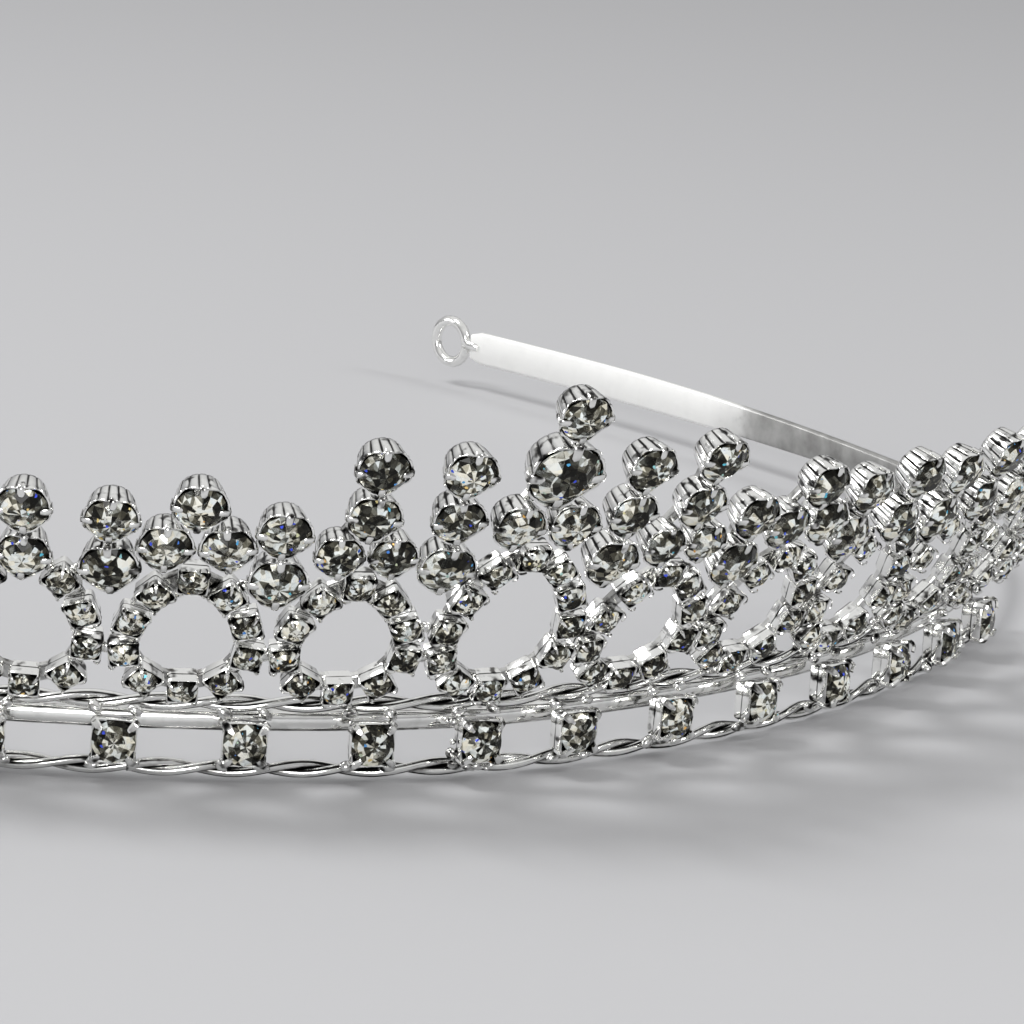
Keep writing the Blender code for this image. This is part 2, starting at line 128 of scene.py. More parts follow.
def new_object(name, data):
    """An object in the scene with this data, such as a camera, a light or a mesh."""
    obj = bpy.data.objects.new(name, data)
    bpy.context.scene.collection.objects.link(obj)
    return obj


ahead = Vector((-math.sin(TURN) * math.cos(TILT), math.cos(TURN) * math.cos(TILT), -math.sin(TILT)))
right = Vector((math.cos(TURN), math.sin(TURN), 0))
up = right.cross(ahead)
rolled_right = math.cos(ROLL) * right + math.sin(ROLL) * up
rolled_up = math.cos(ROLL) * up - math.sin(ROLL) * right

lens = bpy.data.cameras.new("camera")
lens.sensor_width = 36
lens.lens = FOCAL * lens.sensor_width
lens.clip_start, lens.clip_end = 0.01, 20
camera = new_object("camera", lens)
camera.matrix_world = frame_of(eye, rolled_right, rolled_up, -ahead)
bpy.context.scene.camera = camera
print("camera at", [round(c / MM) for c in eye], "mm, lens", round(lens.lens, 1), "mm")

# %% [markdown]
# ## Wires
#
# Materials and geometry are both built as trees of nodes, and sums in a tree get long when each
# one is a node that is made and linked by hand. So a small class wraps a socket and lets it take
# part in Python's own sums: `1 - mask` then adds the Math node by itself.

# %% Wires
class Wire:
    """A node's output that can be used in sums."""

    def __init__(self, bench, socket):
        self.bench, self.socket = bench, socket

    def also(self, name):
        """Another output of the same node."""
        return Wire(self.bench, self.socket.node.outputs[name])

    def __add__(self, other):
        return self.bench.math("ADD", self, other)

    def __sub__(self, other):
        return self.bench.math("SUBTRACT", self, other)

    def __rsub__(self, other):
        return self.bench.math("SUBTRACT", other, self)

    def __mul__(self, other):
        return self.bench.math("MULTIPLY", self, other)

    def __gt__(self, other):
        return self.bench.math("GREATER_THAN", self, other)

    def __lt__(self, other):
        return self.bench.math("LESS_THAN", self, other)

    __radd__, __rmul__ = __add__, __mul__


print("wires can be added, subtracted, multiplied and compared")

# %% [markdown]
# ## A bench for nodes
#
# A Bench adds a node with its settings and its values in one line. The settings, such as an
# operation or a ramp's stops, come first, because they decide which sockets the node has. A
# value may be a number, a colour or a wire from another node.

# %% Bench
class Bench:
    """Adds nodes to one tree."""

    def __init__(self, tree):
        self.tree = tree
        tree.nodes.clear()

    def add(self, kind, settings=None, values=None, out=0):
        node = self.tree.nodes.new(kind)
        for name, value in (settings or {}).items():
            if name == "stops":
                self.stops(node.color_ramp, value)
            else:
                setattr(node, name, value)
        for key, value in (values or {}).items():
            self.put(node.inputs[key], value)
        return Wire(self, node.outputs[out]) if len(node.outputs) else node

    def math(self, operation, a, b=0.0):
        return self.add("ShaderNodeMath", {"operation": operation}, {0: a, 1: b})

    def vector_math(self, operation, a, b=(0, 0, 0), out=0):
        return self.add("ShaderNodeVectorMath", {"operation": operation}, {0: a, 1: b}, out)

    def put(self, socket, value):
        if isinstance(value, Wire):
            self.tree.links.new(value.socket, socket)
        else:
            socket.default_value = value

    def stops(self, ramp, stops):
        while len(ramp.elements) < len(stops):
            ramp.elements.new(0.5)
        for element, (place, colour) in zip(ramp.elements, stops):
            element.position, element.color = place, (*colour, 1)


print("the bench has", ", ".join(name for name in vars(Bench) if not name.startswith("_")))

# %% [markdown]
# ## Short words for materials
#
# A few nodes come up in every material, so each gets a short word of its own. An attribute is a
# value that the mesh carries, which keeps a mark in its place however the piece is turned.

# %% Helpers for materials
def material(name):
    """(material, its bench) with nothing in the tree yet."""
    made = bpy.data.materials.new(name)
    made.use_nodes = True
    return made, Bench(made.node_tree)


def attribute(bench, name, out="Fac"):
    return bench.add("ShaderNodeAttribute", {"attribute_name": name}, out=out)


def noise(bench, where, scale, detail):
    return bench.add("ShaderNodeTexNoise", None, {"Vector": where, "Scale": scale, "Detail": detail})


def ramp(bench, stops, share):
    return bench.add("ShaderNodeValToRGB", {"stops": stops}, {"Fac": share})


def finish_material(bench, values):
    shader = bench.add("ShaderNodeBsdfPrincipled", None, values)
    bench.add("ShaderNodeOutputMaterial", None, {"Surface": shader})


print(len(bpy.data.materials), "materials before the tiara's own")

# %% [markdown]
# ## Floor
#
# Polished metal is a mirror, so a piece of jewellery looks like what surrounds it. A plain pale
# floor that runs far beyond the tiara gives it something calm to show. A disc is enough, set a
# hair below the wire that rests on it.

# %% Floor
FLOOR_RADIUS, FLOOR_DROP = 3.0, 0.1 * MM


def to_mesh(bm, name):
    mesh = bpy.data.meshes.new(name)
    bm.to_mesh(mesh)
    bm.free()
    return mesh


bm = bmesh.new()
bmesh.ops.create_circle(bm, cap_ends=True, segments=96, radius=FLOOR_RADIUS)
bmesh.ops.translate(bm, verts=bm.verts, vec=(0, 0, -FLOOR_DROP))
floor = new_object("floor", to_mesh(bm, "floor"))
pale, bench = material("floor")
finish_material(bench, {"Base Color": (0.47, 0.47, 0.48, 1), "Roughness": 0.7, "Specular IOR Level": 0.2})
floor.data.materials.append(pale)
print("floor", round(2 * FLOOR_RADIUS), "m across")

# %% [markdown]
# ## World and lamps
#
# The world is paler overhead than at the horizon, and four broad soft lamps do the rest. One
# hangs over the top and a weaker one stands at the side. The panel of stones leans out, so its
# faces look down and forward, and a third lamp, low in front, reaches them. The last one, at
# the left and back, is what the flat inner side of the far arm throws towards the viewer.

# %% World and lamps
SKY = [(0.05, (0.42, 0.42, 0.43)), (0.7, (1, 1, 1))]  # from the horizon to overhead
SKY_STRENGTH = 0.72
LAMPS = {  # place, what it looks at, width and power
    "key": ((-0.3, 0.12, 0.62), (0, -0.03, 0), 0.25, 2.2),
    "side": ((0.45, -0.4, 0.4), (0, -0.03, 0), 0.2, 1.0),
    "front": ((-0.35, -0.8, 0.2), (0, -0.05, 0.015), 0.4, 3.0),
    "back": ((-0.95, 0.55, 0.33), (0.05, 0.05, 0), 0.4, 3.0),
}

world = bpy.data.worlds.new("studio")
world.use_nodes = True
bpy.context.scene.world = world
bench = Bench(world.node_tree)
direction = bench.add("ShaderNodeTexCoord", out="Generated")
height = bench.add("ShaderNodeSeparateXYZ", None, {"Vector": direction}, out="Z")
sky = {"Color": ramp(bench, SKY, height), "Strength": SKY_STRENGTH}
sky = bench.add("ShaderNodeBackground", None, sky)
bench.add("ShaderNodeOutputWorld", None, {"Surface": sky})

for name, (place, aim, width, power) in LAMPS.items():
    light = bpy.data.lights.new(name, "AREA")
    light.shape, light.size, light.energy = "DISK", width, power
    lamp = new_object(name, light)
    lamp.location = place
    lamp.rotation_euler = (Vector(aim) - Vector(place)).to_track_quat("-Z", "Y").to_euler()
bpy.context.scene.view_settings.view_transform = "Standard"
print(len(LAMPS), "lamps,", sum(power for *_, power in LAMPS.values()), "W in all")

# %% [markdown]
# ## Silver plate
#
# Bright plate is a near mirror with faint smudges. An even light leaves it little contrast, so small
# dark clouds are painted on as painted reflection of a dark room. Where it is pressed into flutes or
# folded round a stone, or where one part lies behind or against another, it is darkened with painted
# shade. The pieces carry that painted shade as an attribute, from 0 in the open to 1 at the bottom of
# a fold, which is steadier than any effect that the renderer would work out from the shape. Two more
# attributes are for the headband alone: satin is 1 where the rolls have left its skin dull and bright,
# and the third is 1 on the stretch before that, where each arm gets a painted dark reflection, as a
# mirror that faces a dark room shows. Drawn wire gets the same plate with fainter painted clouds.

# %% Silver plate
PLATE = (0.95, 0.95, 0.93)
PLATE_STOPS = [(0.0, PLATE), (0.3, [c * 0.82 for c in PLATE]), (0.62, (0.16, 0.157, 0.15))]
PLATE_STOPS += [(0.9, (0.012,) * 3)]
SMUDGES, REFLECTION_PATCHES, GRAIN = 420.0, 1250.0, 2600.0  # the noises' scales
REFLECTION_EDGE = 0.53  # only noise above this makes a patch of painted reflection
SHADE_DARK, SHADE_FADE = 2.4, 0.1  # painted shade is darker in a smudge, and lightened a little all over
SMUDGE_DARK, DARK_REFLECTION_DEPTH = 0.3, 0.5
SHADE_DULL, DARK_REFLECTION_DULL, SATIN_DULL = 0.2, 0.25, 0.42  # what each adds to the roughness


def make_silver(name, polished, dull, scratches, painted_reflections):
    """Plate with a roughness from polished to dull, and this much of scratches and of painted reflection
    patches.
    """
    made, bench = material(name)
    where = bench.add("ShaderNodeTexCoord", out="Object")
    crease, satin, dusk = (attribute(bench, mark) for mark in ("crease", "satin", "dusk"))
    smudge = noise(bench, where, SMUDGES, 3.0)
    grain = noise(bench, where, GRAIN, 2.0)
    reflection_noise = noise(bench, where, REFLECTION_PATCHES, 1.5)

    # Painted reflection: dark patches where the noise is high, but none on satin or on the arms' dark
    # stretch.
    painted_reflection = bench.math("MAXIMUM", (reflection_noise - REFLECTION_EDGE) * painted_reflections) * (1 - satin) * (1 - dusk)
    # Painted shade where a piece is marked for it, darker in a smudge.
    shaded = crease * (smudge * SHADE_DARK - SHADE_FADE)
    # The arms' painted dark reflection darkens the plate as well.
    dark = shaded + (smudge - 0.5) * SMUDGE_DARK + painted_reflection + dusk * DARK_REFLECTION_DEPTH
    relief = {"Strength": scratches, "Distance": 0.02 * MM, "Height": grain}
    values = {"Base Color": ramp(bench, PLATE_STOPS, dark), "Metallic": 1.0}
    marks = crease * SHADE_DULL + satin * SATIN_DULL + dusk * DARK_REFLECTION_DULL
    values["Roughness"] = smudge * (dull - polished) + marks + polished
    values["Normal"] = bench.add("ShaderNodeBump", None, relief)
    finish_material(bench, values)
    return made


silver = make_silver("silver_plate", polished=0.03, dull=0.2, scratches=0.25, painted_reflections=4.0)
wire_silver = make_silver("drawn_silver_plate", polished=0.03, dull=0.18, scratches=0.2, painted_reflections=1.2)
for plate in (silver, wire_silver):
    print(plate.name, "has", len(plate.node_tree.nodes), "nodes")

# %% [markdown]
# ## Cut crystal
#
# A foil-backed stone shows its own facets and, through them, the mirrored facets behind. Real
# refraction is slow and turns to noise at this size. Each facet gets a random painted shade instead,
# a painted reflection that is mostly smoke with a few painted white glints. Wedges and rings round
# the stone's middle break it up as the facets behind would, and small shards break it up once more.
# Facets on the lower left of a stone are painted a little lighter, as painted light from that side.
# A rare painted spark burns blue, gold or orange.

# %% Random facets
BEHIND_WEDGES, BEHIND_RINGS = 16, 4.2  # wedges round a stone, and rings over its radius
STONE_TURN, STONE_CELLS = 5, 77  # how far a stone's own number turns its wedges and shifts its shades


def random_cells(bench, where, scale):
    """Random numbers, one set for each cell, in the outputs Red, Green and Blue."""
    cells = {"Vector": where, "Scale": scale}
    cells = bench.add("ShaderNodeTexVoronoi", {"feature": "F1"}, cells, out="Color")
    return bench.add("ShaderNodeSeparateColor", None, {"Color": cells})


def facets_behind(bench, stone):
    """A random painted shade for each wedge and ring of the stone's own cut, as painted reflection."""
    x = bench.add("ShaderNodeSeparateXYZ", None, {"Vector": attribute(bench, "cut", "Vector")})
    turn = bench.math("ARCTAN2", x.also("Y"), x) * (BEHIND_WEDGES / (2 * math.pi)) + stone * STONE_TURN
    flat = bench.add("ShaderNodeCombineXYZ", None, {"X": x, "Y": x.also("Y")})
    radius = bench.vector_math("LENGTH", flat, out="Value")
    cell = {"X": bench.math("FLOOR", turn), "Y": bench.math("FLOOR", radius * BEHIND_RINGS)}
    cell = bench.add("ShaderNodeCombineXYZ", None, {**cell, "Z": stone * STONE_CELLS})
    return bench.add("ShaderNodeTexWhiteNoise", {"noise_dimensions": "3D"}, {"Vector": cell}, out="Value")


print(BEHIND_WEDGES, "wedges and", math.ceil(BEHIND_RINGS), "rings of facets behind each table")

# %% [markdown]
# The painted shades are mixed and then coloured by three ramps: smoke from nearly black to painted
# white glints, a slight warmth or coolness for each shard, and the painted fire of the sparks.

# %% Cut crystal
SHARDS, SPARKS = 2300.0, 5600.0  # cells along a metre
BEHIND, OWN, SHARD = 0.48, 0.34, 0.18  # shares of the facets behind, the facet itself and the shard
# Painted light: facets to the lower left of a stone's own cut are lighter, to the upper right darker.
PAINTED_LIGHT_LOWER_LEFT = (-0.07, -0.11)  # how the shade falls across a stone and up it
SPARK_CHANCE = 0.987  # a spark burns where its own chance is above this
# Painted facet shades: painted reflection from nearly black to painted white glints.
PAINTED_FACET_SHADES = [(0.28, (0.005, 0.005, 0.004)), (0.40, (0.024, 0.023, 0.02)), (0.51, (0.08, 0.078, 0.065))]
PAINTED_FACET_SHADES += [(0.58, (0.22, 0.215, 0.185)), (0.61, (0.56, 0.55, 0.5)), (0.63, (1.0, 1.0, 0.97))]
WARMTH = [(0.0, (1.0, 0.95, 0.80)), (0.6, (1.0, 1.0, 0.95)), (1.0, (0.91, 0.97, 1.0))]
FIRE = [(0.0, (0.8, 0.4, 0.08)), (0.2, (0.85, 0.7, 0.3)), (0.45, (0.12, 0.55, 0.7))]
FIRE += [(0.75, (0.06, 0.1, 0.75))]


def mix(bench, share, a, b, blend="MIX"):
    """Colour a with this share of colour b."""
    settings = {"data_type": "RGBA", "blend_type": blend}
    return bench.add("ShaderNodeMix", settings, {0: share, 6: a, 7: b}, out=2)


def make_crystal(name):
    made, bench = material(name)
    where = bench.add("ShaderNodeTexCoord", out="Object")
    shard, spark = random_cells(bench, where, SHARDS), random_cells(bench, where, SPARKS)
    across = bench.add("ShaderNodeSeparateXYZ", None, {"Vector": attribute(bench, "middle", "Vector")})
    behind = facets_behind(bench, attribute(bench, "stone"))
    shade = behind * BEHIND + attribute(bench, "facet") * OWN + shard * SHARD
    # Painted light from the lower left of each stone.
    shade = shade + (across * PAINTED_LIGHT_LOWER_LEFT[0] + across.also("Y") * PAINTED_LIGHT_LOWER_LEFT[1])

    warmth = ramp(bench, WARMTH, shard.also("Red"))
    painted_facets = mix(bench, 1.0, ramp(bench, PAINTED_FACET_SHADES, shade), warmth, "MULTIPLY")
    fire = ramp(bench, FIRE, spark.also("Green"))
    # A painted spark of fire on a few shards.
    lit = mix(bench, spark.also("Blue") > SPARK_CHANCE, painted_facets, fire)
    values = {"Base Color": lit, "Metallic": shade * 0.6, "Roughness": 0.05, "IOR": 1.5}
    values.update({"Specular IOR Level": 0.15, "Coat Weight": 0.06, "Coat Roughness": 0.02})
    finish_material(bench, values)
    return made


crystal = make_crystal("cut_crystal")
print(crystal.name, "has", len(crystal.node_tree.nodes), "nodes")

# %% [markdown]
# ## Putting a piece in the scene
#
# The whole tiara is one rigid body, so every piece rides on it. A piece also names the CAD nodes
# that it stands for, which are then hidden.

# %% Put a piece in the scene
def put_in_scene(name, mesh, stands_for=()):
    obj = new_object(name, mesh)
    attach(obj, "root")
    if stands_for:
        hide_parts(*stands_for)
    print(name, "has", len(mesh.polygons), "faces")


# %% [markdown]
# ## Trees that make shapes
#
# A tree of Geometry Nodes repeats a cup round a loop or winds a strand along a rope, with its
# sizes as named inputs. The export reads plain meshes, so the result is copied out as a mesh
# and the modifier goes away.

# %% Trees of Geometry Nodes
NUMBER, VECTOR = "FLOAT", "FLOAT_VECTOR"


def geometry_tree(name, sizes):
    """(tree, bench, inputs by name) with a geometry input and output and these named inputs."""
    tree = bpy.data.node_groups.new(name, "GeometryNodeTree")
    bench = Bench(tree)
    tree.interface.new_socket("Geometry", in_out="INPUT", socket_type="NodeSocketGeometry")
    tree.interface.new_socket("Geometry", in_out="OUTPUT", socket_type="NodeSocketGeometry")
    for size, kind in sizes.items():
        tree.interface.new_socket(size, in_out="INPUT", socket_type="NodeSocket" + kind)
    given = bench.add("NodeGroupInput")
    return tree, bench, {size: given.also(size) for size in ["Geometry", *sizes]}


def store(bench, geometry, kind, name, value, domain="POINT"):
    """The geometry with a value stored on it under this name."""
    values = {"Geometry": geometry, "Name": name, "Value": value}
    return bench.add("GeometryNodeStoreNamedAttribute", {"data_type": kind, "domain": domain}, values)


def stored(bench, kind, name):
    return bench.add("GeometryNodeInputNamedAttribute", {"data_type": kind}, {"Name": name})


def end_tree(bench, geometry, finish):
    """Every tree ends in Realize Instances and Set Material."""
    real = bench.add("GeometryNodeRealizeInstances", None, {"Geometry": geometry})
    done = bench.add("GeometryNodeSetMaterial", None, {"Geometry": real, "Material": finish})
    bench.add("NodeGroupOutput", None, {"Geometry": done})


def run_tree(base, tree, values):
    """The tree's result on the base mesh, as a plain mesh."""
    obj = new_object("bench", base)
    modifier = obj.modifiers.new("tree", "NODES")
    modifier.node_group = tree
    for item in tree.interface.items_tree:
        if item.item_type == "SOCKET" and item.in_out == "INPUT" and item.name in values:
            modifier[item.identifier] = values[item.name]
    graph = bpy.context.evaluated_depsgraph_get()
    mesh = bpy.data.meshes.new_from_object(
        obj.evaluated_get(graph), preserve_all_data_layers=True, depsgraph=graph
    )
    obj.modifiers.remove(modifier)
    bpy.data.objects.remove(obj)
    return mesh


print("a stored value is a", NUMBER, "or a", VECTOR)

# %% [markdown]
# ## The headband's section
#
# The band starts as thick wire. At the front it is nearly as thick as it is tall, and along
# the arms it has been rolled into a flat strip, which hugs the head. Metal isn't lost in the
# rolls, so the strip gets thinner as it gets taller. A loft of rounded sections says this
# directly, where a bevelled curve would keep one section all along.

# %% Section of the headband
BAND_Z, BAND_RISE = 3.88 * MM, 0.5 * MM  # its middle's height in front, and how far the arms rise
CORNER_STEPS = 4
CORNER_SHARE = 0.46  # a corner's radius over the section's smaller side


def between(value, start, end):
    """0 before the start, 1 after the end, and a ramp from one to the other."""
    return min(max((value - start) / (end - start), 0.0), 1.0)


def band_section(s):
    """(height, thickness, middle's height) of the band at s."""
    share = between(abs(s), *BAND_ROLL)
    eased = share * share * (3 - 2 * share)
    height = BAND_HEIGHT + (ARM_HEIGHT - BAND_HEIGHT) * eased
    return height, BAND_HEIGHT * BAND_THICKNESS / height, BAND_Z + BAND_RISE * eased


def rounded_corners(half_width, half_height, bend, steps):
    """(x, y) of the points round a rectangle whose corners are bent to this radius in steps."""
    points = []
    for corner, (x, y) in enumerate(((1, 1), (-1, 1), (-1, -1), (1, -1))):
        for step in range(steps + 1):
            angle = math.pi / 2 * (corner + step / steps)
            px = x * (half_width - bend) + bend * math.cos(angle)
            points.append((px, y * (half_height - bend) + bend * math.sin(angle)))
    return points


def rounded_section(height, thickness):
    """Points of the band's section, as (along, up, out)."""
    bend = CORNER_SHARE * min(height, thickness)
    points = rounded_corners(height / 2, thickness / 2, bend, CORNER_STEPS)
    return [Vector((0, up, out)) for up, out in points]


for s in (0, ARM_END):
    print("at", round(s / MM, 1), "mm the band is", [round(size / MM, 2) for size in band_section(s)[:2]])

# %% [markdown]
# ## Skins
#
# A loft, a wire and a turned cup are all rings of points with a skin over them. One helper
# draws the skin and another finishes the mesh: normals outwards, and smooth but for edges
# sharper than a given angle, which keeps the crisp ones crisp without a modifier.

# %% Rings to a mesh
def skin(bm, rings, closed=False):
    """Quads between the rings of vertices, with both ends capped unless it is closed."""
    pairs = list(zip(rings, rings[1:] + rings[:1] if closed else rings[1:]))
    for lower, upper in pairs:
        for i in range(len(lower)):
            j = (i + 1) % len(lower)
            bm.faces.new((lower[i], lower[j], upper[j], upper[i]))
    if not closed:
        bm.faces.new(reversed(rings[0]))
        bm.faces.new(rings[-1])


def smooth_mesh(bm, name, angle=math.radians(38)):
    """A mesh with outward normals, smooth but for edges sharper than the angle."""
    bmesh.ops.recalc_face_normals(bm, faces=bm.faces)
    for face in bm.faces:
        face.smooth = True
    for edge in bm.edges:
        edge.smooth = edge.calc_face_angle(0.0) < angle
    return to_mesh(bm, name)


print("one section has", len(rounded_section(BAND_HEIGHT, BAND_THICKNESS)), "points")

# %% [markdown]
# ## The band itself
#
# The loft runs from one arm's end to the other. Its vertices carry the marks that the plate
# reads: faint dark lines of painted reflection along the thick wire, a painted dark reflection on
# each arm after the temple, and satin on its rolled end. The last bit before the eyelet is pinched a little.

# %% Loft of the band
STATIONS = 260
INSET = 0.05 * MM  # keeps the smooth band inside the faceted box of the CAD's
PINCH, PINCH_LENGTH = 0.22, 0.6 * MM
# Painted dark reflection: each arm's plate is darkened on a stretch after the temple.
DARK_REFLECTION_SPAN, SATIN = (84 * MM, 108 * MM), (127 * MM, 135 * MM)  # where each comes in along an arm
# Painted reflection: dark lines along the thick wire at these points of the section.
REFLECTION_LINES = {1: 0.35, 7: 0.7, 12: 0.35}  # darkness at these points of the section

bm = bmesh.new()
satin, crease, dusk = (bm.verts.layers.float.new(mark) for mark in ("satin", "crease", "dusk"))
rings = []
for i in range(STATIONS + 1):
    s = (2 * i / STATIONS - 1) * ARM_END
    height, thickness, z = band_section(s)
    from_end = ARM_END - abs(s)
    if from_end < PINCH_LENGTH:
        height *= 1 - PINCH * (1 - from_end / PINCH_LENGTH) ** 2
    place = upright(s, BAND_OFFSET - INSET, z)
    rings.append([bm.verts.new(place @ point) for point in rounded_section(height, thickness)])
    for n, vert in enumerate(rings[-1]):
        vert[satin] = between(abs(s), *SATIN)
        # Painted dark reflection on the stretch before the satin end.
        vert[dusk] = between(abs(s), *DARK_REFLECTION_SPAN) * (1 - vert[satin])
        # Painted reflection lines, none on satin or on the dark stretch.
        vert[crease] = REFLECTION_LINES.get(n, 0.0) * (1 - vert[satin]) * (1 - vert[dusk])
skin(bm, rings)
print("the band has", len(bm.faces), "faces")

# %% [markdown]
# ## Eyelets
#
# The wire goes on past each arm and is bent round into an eyelet, which takes a hair grip. The
# bend rises slightly, so that the end of the wire lies beside its start. A wire is a skin over
# rings that are carried along its points without twisting.

# %% Eyelets
EYELET_WIRE, EYELET_OUTSIDE, EYELET_NECK = 1.05 * MM, 5.19 * MM, 0.29 * MM
EYELET_STEPS, EYELET_RISE, EYELET_LEAD = 44, 0.12 * MM, 0.4 * MM


def wire(bm, points, radius, sides=14):
    """A round wire through the points."""
    rings = []
    for i, point in enumerate(points):
        after = points[i + 1] if i + 1 < len(points) else point
        before = points[i - 1] if i else point
        along = (after - before).normalized()
        side = along.cross(Vector((0, 0, 1))).normalized()
        if i:
            side = (last - last.dot(along) * along).normalized()
        last = side
        other = along.cross(side)
        turn = [2 * math.pi * j / sides for j in range(sides)]
        ring = [point + radius * (math.cos(a) * side + math.sin(a) * other) for a in turn]
        rings.append([bm.verts.new(corner) for corner in ring])
    skin(bm, rings)


for side in (-1, 1):
    place = upright(side * ARM_END, BAND_OFFSET - INSET, band_section(ARM_END)[2])
    radius = (EYELET_OUTSIDE - EYELET_WIRE) / 2
    middle = side * (EYELET_NECK + radius + EYELET_WIRE / 2)
    points = [place @ Vector((-side * EYELET_WIRE, 0, 0)), place @ Vector((side * EYELET_LEAD, 0, 0))]
    for i in range(1, EYELET_STEPS):
        angle = 2 * math.pi * i / EYELET_STEPS
        x = middle - side * radius * math.cos(angle)
        points.append(place @ Vector((x, radius * math.sin(angle), EYELET_RISE * (i / EYELET_STEPS - 0.5))))
    wire(bm, points, EYELET_WIRE / 2)
band = smooth_mesh(bm, "headband_wire")
band.materials.append(wire_silver)
put_in_scene("headband_wire", band, ["headband"])

# %% [markdown]
# ## Ropes
#
# Each rope is two wires twisted together. A strand is a helix round the rope's line, and the
# rope's line follows the band, so the tree resamples a line laid along the plan and moves its
# points round it. The second strand is the same tree, half a turn on. Faint dark lines of painted
# reflection run along each wire, which are stored on the profile and swept with it, and the side of
# a strand that faces its neighbour gets painted shade.

# %% Tree: one strand of a rope
STRAND_RADIUS, TWIST_RADIUS, TWIST_LENGTH = 0.32 * MM, 0.31 * MM, 9.6 * MM
# Painted reflection: a dark line along the strand on every fourth side of its profile.
STRAND_SIDES, REFLECTION_LINE_EVERY, REFLECTION_LINE_DARKNESS = 16, 4, 0.9  # a line of this darkness on every fourth side
# Painted shade where a strand faces its neighbour, darkest near the rope's heart.
HIDDEN, OPEN = 0.1 * TWIST_RADIUS, 1.3 * TWIST_RADIUS  # from the rope's heart, dark to bright
STRAND_SIZES = dict.fromkeys(("Radius", "Twist Radius", "Turn", "Height", "Half Length"), "Float")

strand_tree, bench, given = geometry_tree("strand", {**STRAND_SIZES, "Steps": "Int"})
line = bench.add("GeometryNodeMeshToCurve", None, {"Mesh": given["Geometry"]})
line = bench.add("GeometryNodeResampleCurve", None, {"Curve": line, "Count": given["Steps"]})
heart = bench.add("ShaderNodeCombineXYZ", None, {"Z": given["Height"]})
heart = bench.vector_math("ADD", bench.add("GeometryNodeInputPosition"), heart)
line = store(bench, line, VECTOR, "heart", heart)

along = bench.add("GeometryNodeSplineParameter", out="Length") - given["Half Length"]
angle = along * (2 * math.pi / TWIST_LENGTH) + given["Turn"]
swing = bench.math("COSINE", angle) * given["Twist Radius"]
rise = bench.math("SINE", angle) * given["Twist Radius"] + given["Height"]
outward = bench.vector_math("CROSS_PRODUCT", bench.add("GeometryNodeInputTangent"), (0, 0, 1))
aside = bench.add("ShaderNodeVectorMath", {"operation": "SCALE"}, {0: outward, "Scale": swing})
offset = bench.vector_math("ADD", aside, bench.add("ShaderNodeCombineXYZ", None, {"Z": rise}))
line = bench.add("GeometryNodeSetPosition", None, {"Geometry": line, "Offset": offset})

profile = {"Resolution": STRAND_SIDES, "Radius": given["Radius"]}
profile = bench.add("GeometryNodeCurvePrimitiveCircle", None, profile)
side = bench.add("GeometryNodeInputIndex")
# The profile's lines of painted reflection.
painted_lines = (bench.math("MODULO", side, REFLECTION_LINE_EVERY) < 0.5) * REFLECTION_LINE_DARKNESS
profile = store(bench, profile, NUMBER, "mark", painted_lines)
strand = {"Curve": line, "Profile Curve": profile, "Fill Caps": True}
strand = bench.add("GeometryNodeCurveToMesh", None, strand)

heart = stored(bench, VECTOR, "heart")
apart = bench.vector_math("DISTANCE", bench.add("GeometryNodeInputPosition"), heart, out="Value")
# Painted shade: dark near the rope's heart, where the two strands meet.
depth = {"Value": apart, "From Min": HIDDEN, "From Max": OPEN, "To Min": 1.0, "To Max": 0.0}
depth = bench.add("ShaderNodeMapRange", None, depth)
dark = bench.math("MAXIMUM", depth, stored(bench, NUMBER, "mark"))
strand = store(bench, strand, NUMBER, "crease", dark)
end_tree(bench, strand, wire_silver)
print("the strand's tree has", len(strand_tree.nodes), "nodes")

# %% [markdown]
# The lower rope is what the front rests on, and the upper one carries the loops. Both follow
# the plan's own curve and end a little past the last loop.

# %% Four strands
LOOP_PITCH = 10.1 * MM
ROPE_END = 6.5 * LOOP_PITCH + 2.2 * MM
LOWER_ROPE_Z = 0.78 * MM
UPPER_ROPE_Z = LOWER_ROPE_Z + 4.55 * MM
HALF_STEPS, STRAND_STEPS = 200, 480

rope_line = bpy.data.meshes.new("rope_line")
line_points = [plan((i / HALF_STEPS - 1) * ROPE_END)[0] for i in range(2 * HALF_STEPS + 1)]
rope_line.from_pydata(line_points, [(i, i + 1) for i in range(2 * HALF_STEPS)], [])
for rope, z in (("lower_rope", LOWER_ROPE_Z), ("upper_rope", UPPER_ROPE_Z)):
    for letter, turn in (("a", 0.0), ("b", math.pi)):
        values = {"Radius": STRAND_RADIUS, "Twist Radius": TWIST_RADIUS, "Turn": turn, "Height": z}
        values.update({"Half Length": ROPE_END, "Steps": STRAND_STEPS})
        mesh = run_tree(rope_line.copy(), strand_tree, values)
        mesh.shade_smooth()
        put_in_scene(f"{rope}_wire_{letter}", mesh, [f"{rope}_strand_{letter}"])

# %% [markdown]
# ## The leaning panel
#
# The panel of stones leans outwards over the wearer's forehead. A place on it is given by x
# along the panel, v up it and w out of its face. It is curved like the band, so each loop has a
# flat frame of its own, a pitch away from the next.

# %% Panel
LEAN = math.radians(28)
PANEL_FORWARD, PANEL_UP = 1.5 * MM, 0.3 * MM  # its foot from the band's plan and the upper rope
CHAIN_CUP, CHAIN_DEPTH = 1.1 * MM, 1.5 * MM
CREST_CUP, PAIR_CUP, JUNCTION_CUP, CENTRE_CUP = 1.9 * MM, 1.7 * MM, 2.05 * MM, 2.75 * MM
BORDER_CUP, BORDER_DEPTH = 1.6 * MM, 1.7 * MM
RIM = 0.75 * MM  # from the panel's plane to the rims of its cups
LOOPS = range(-6, 7)  # 0 is the centre one


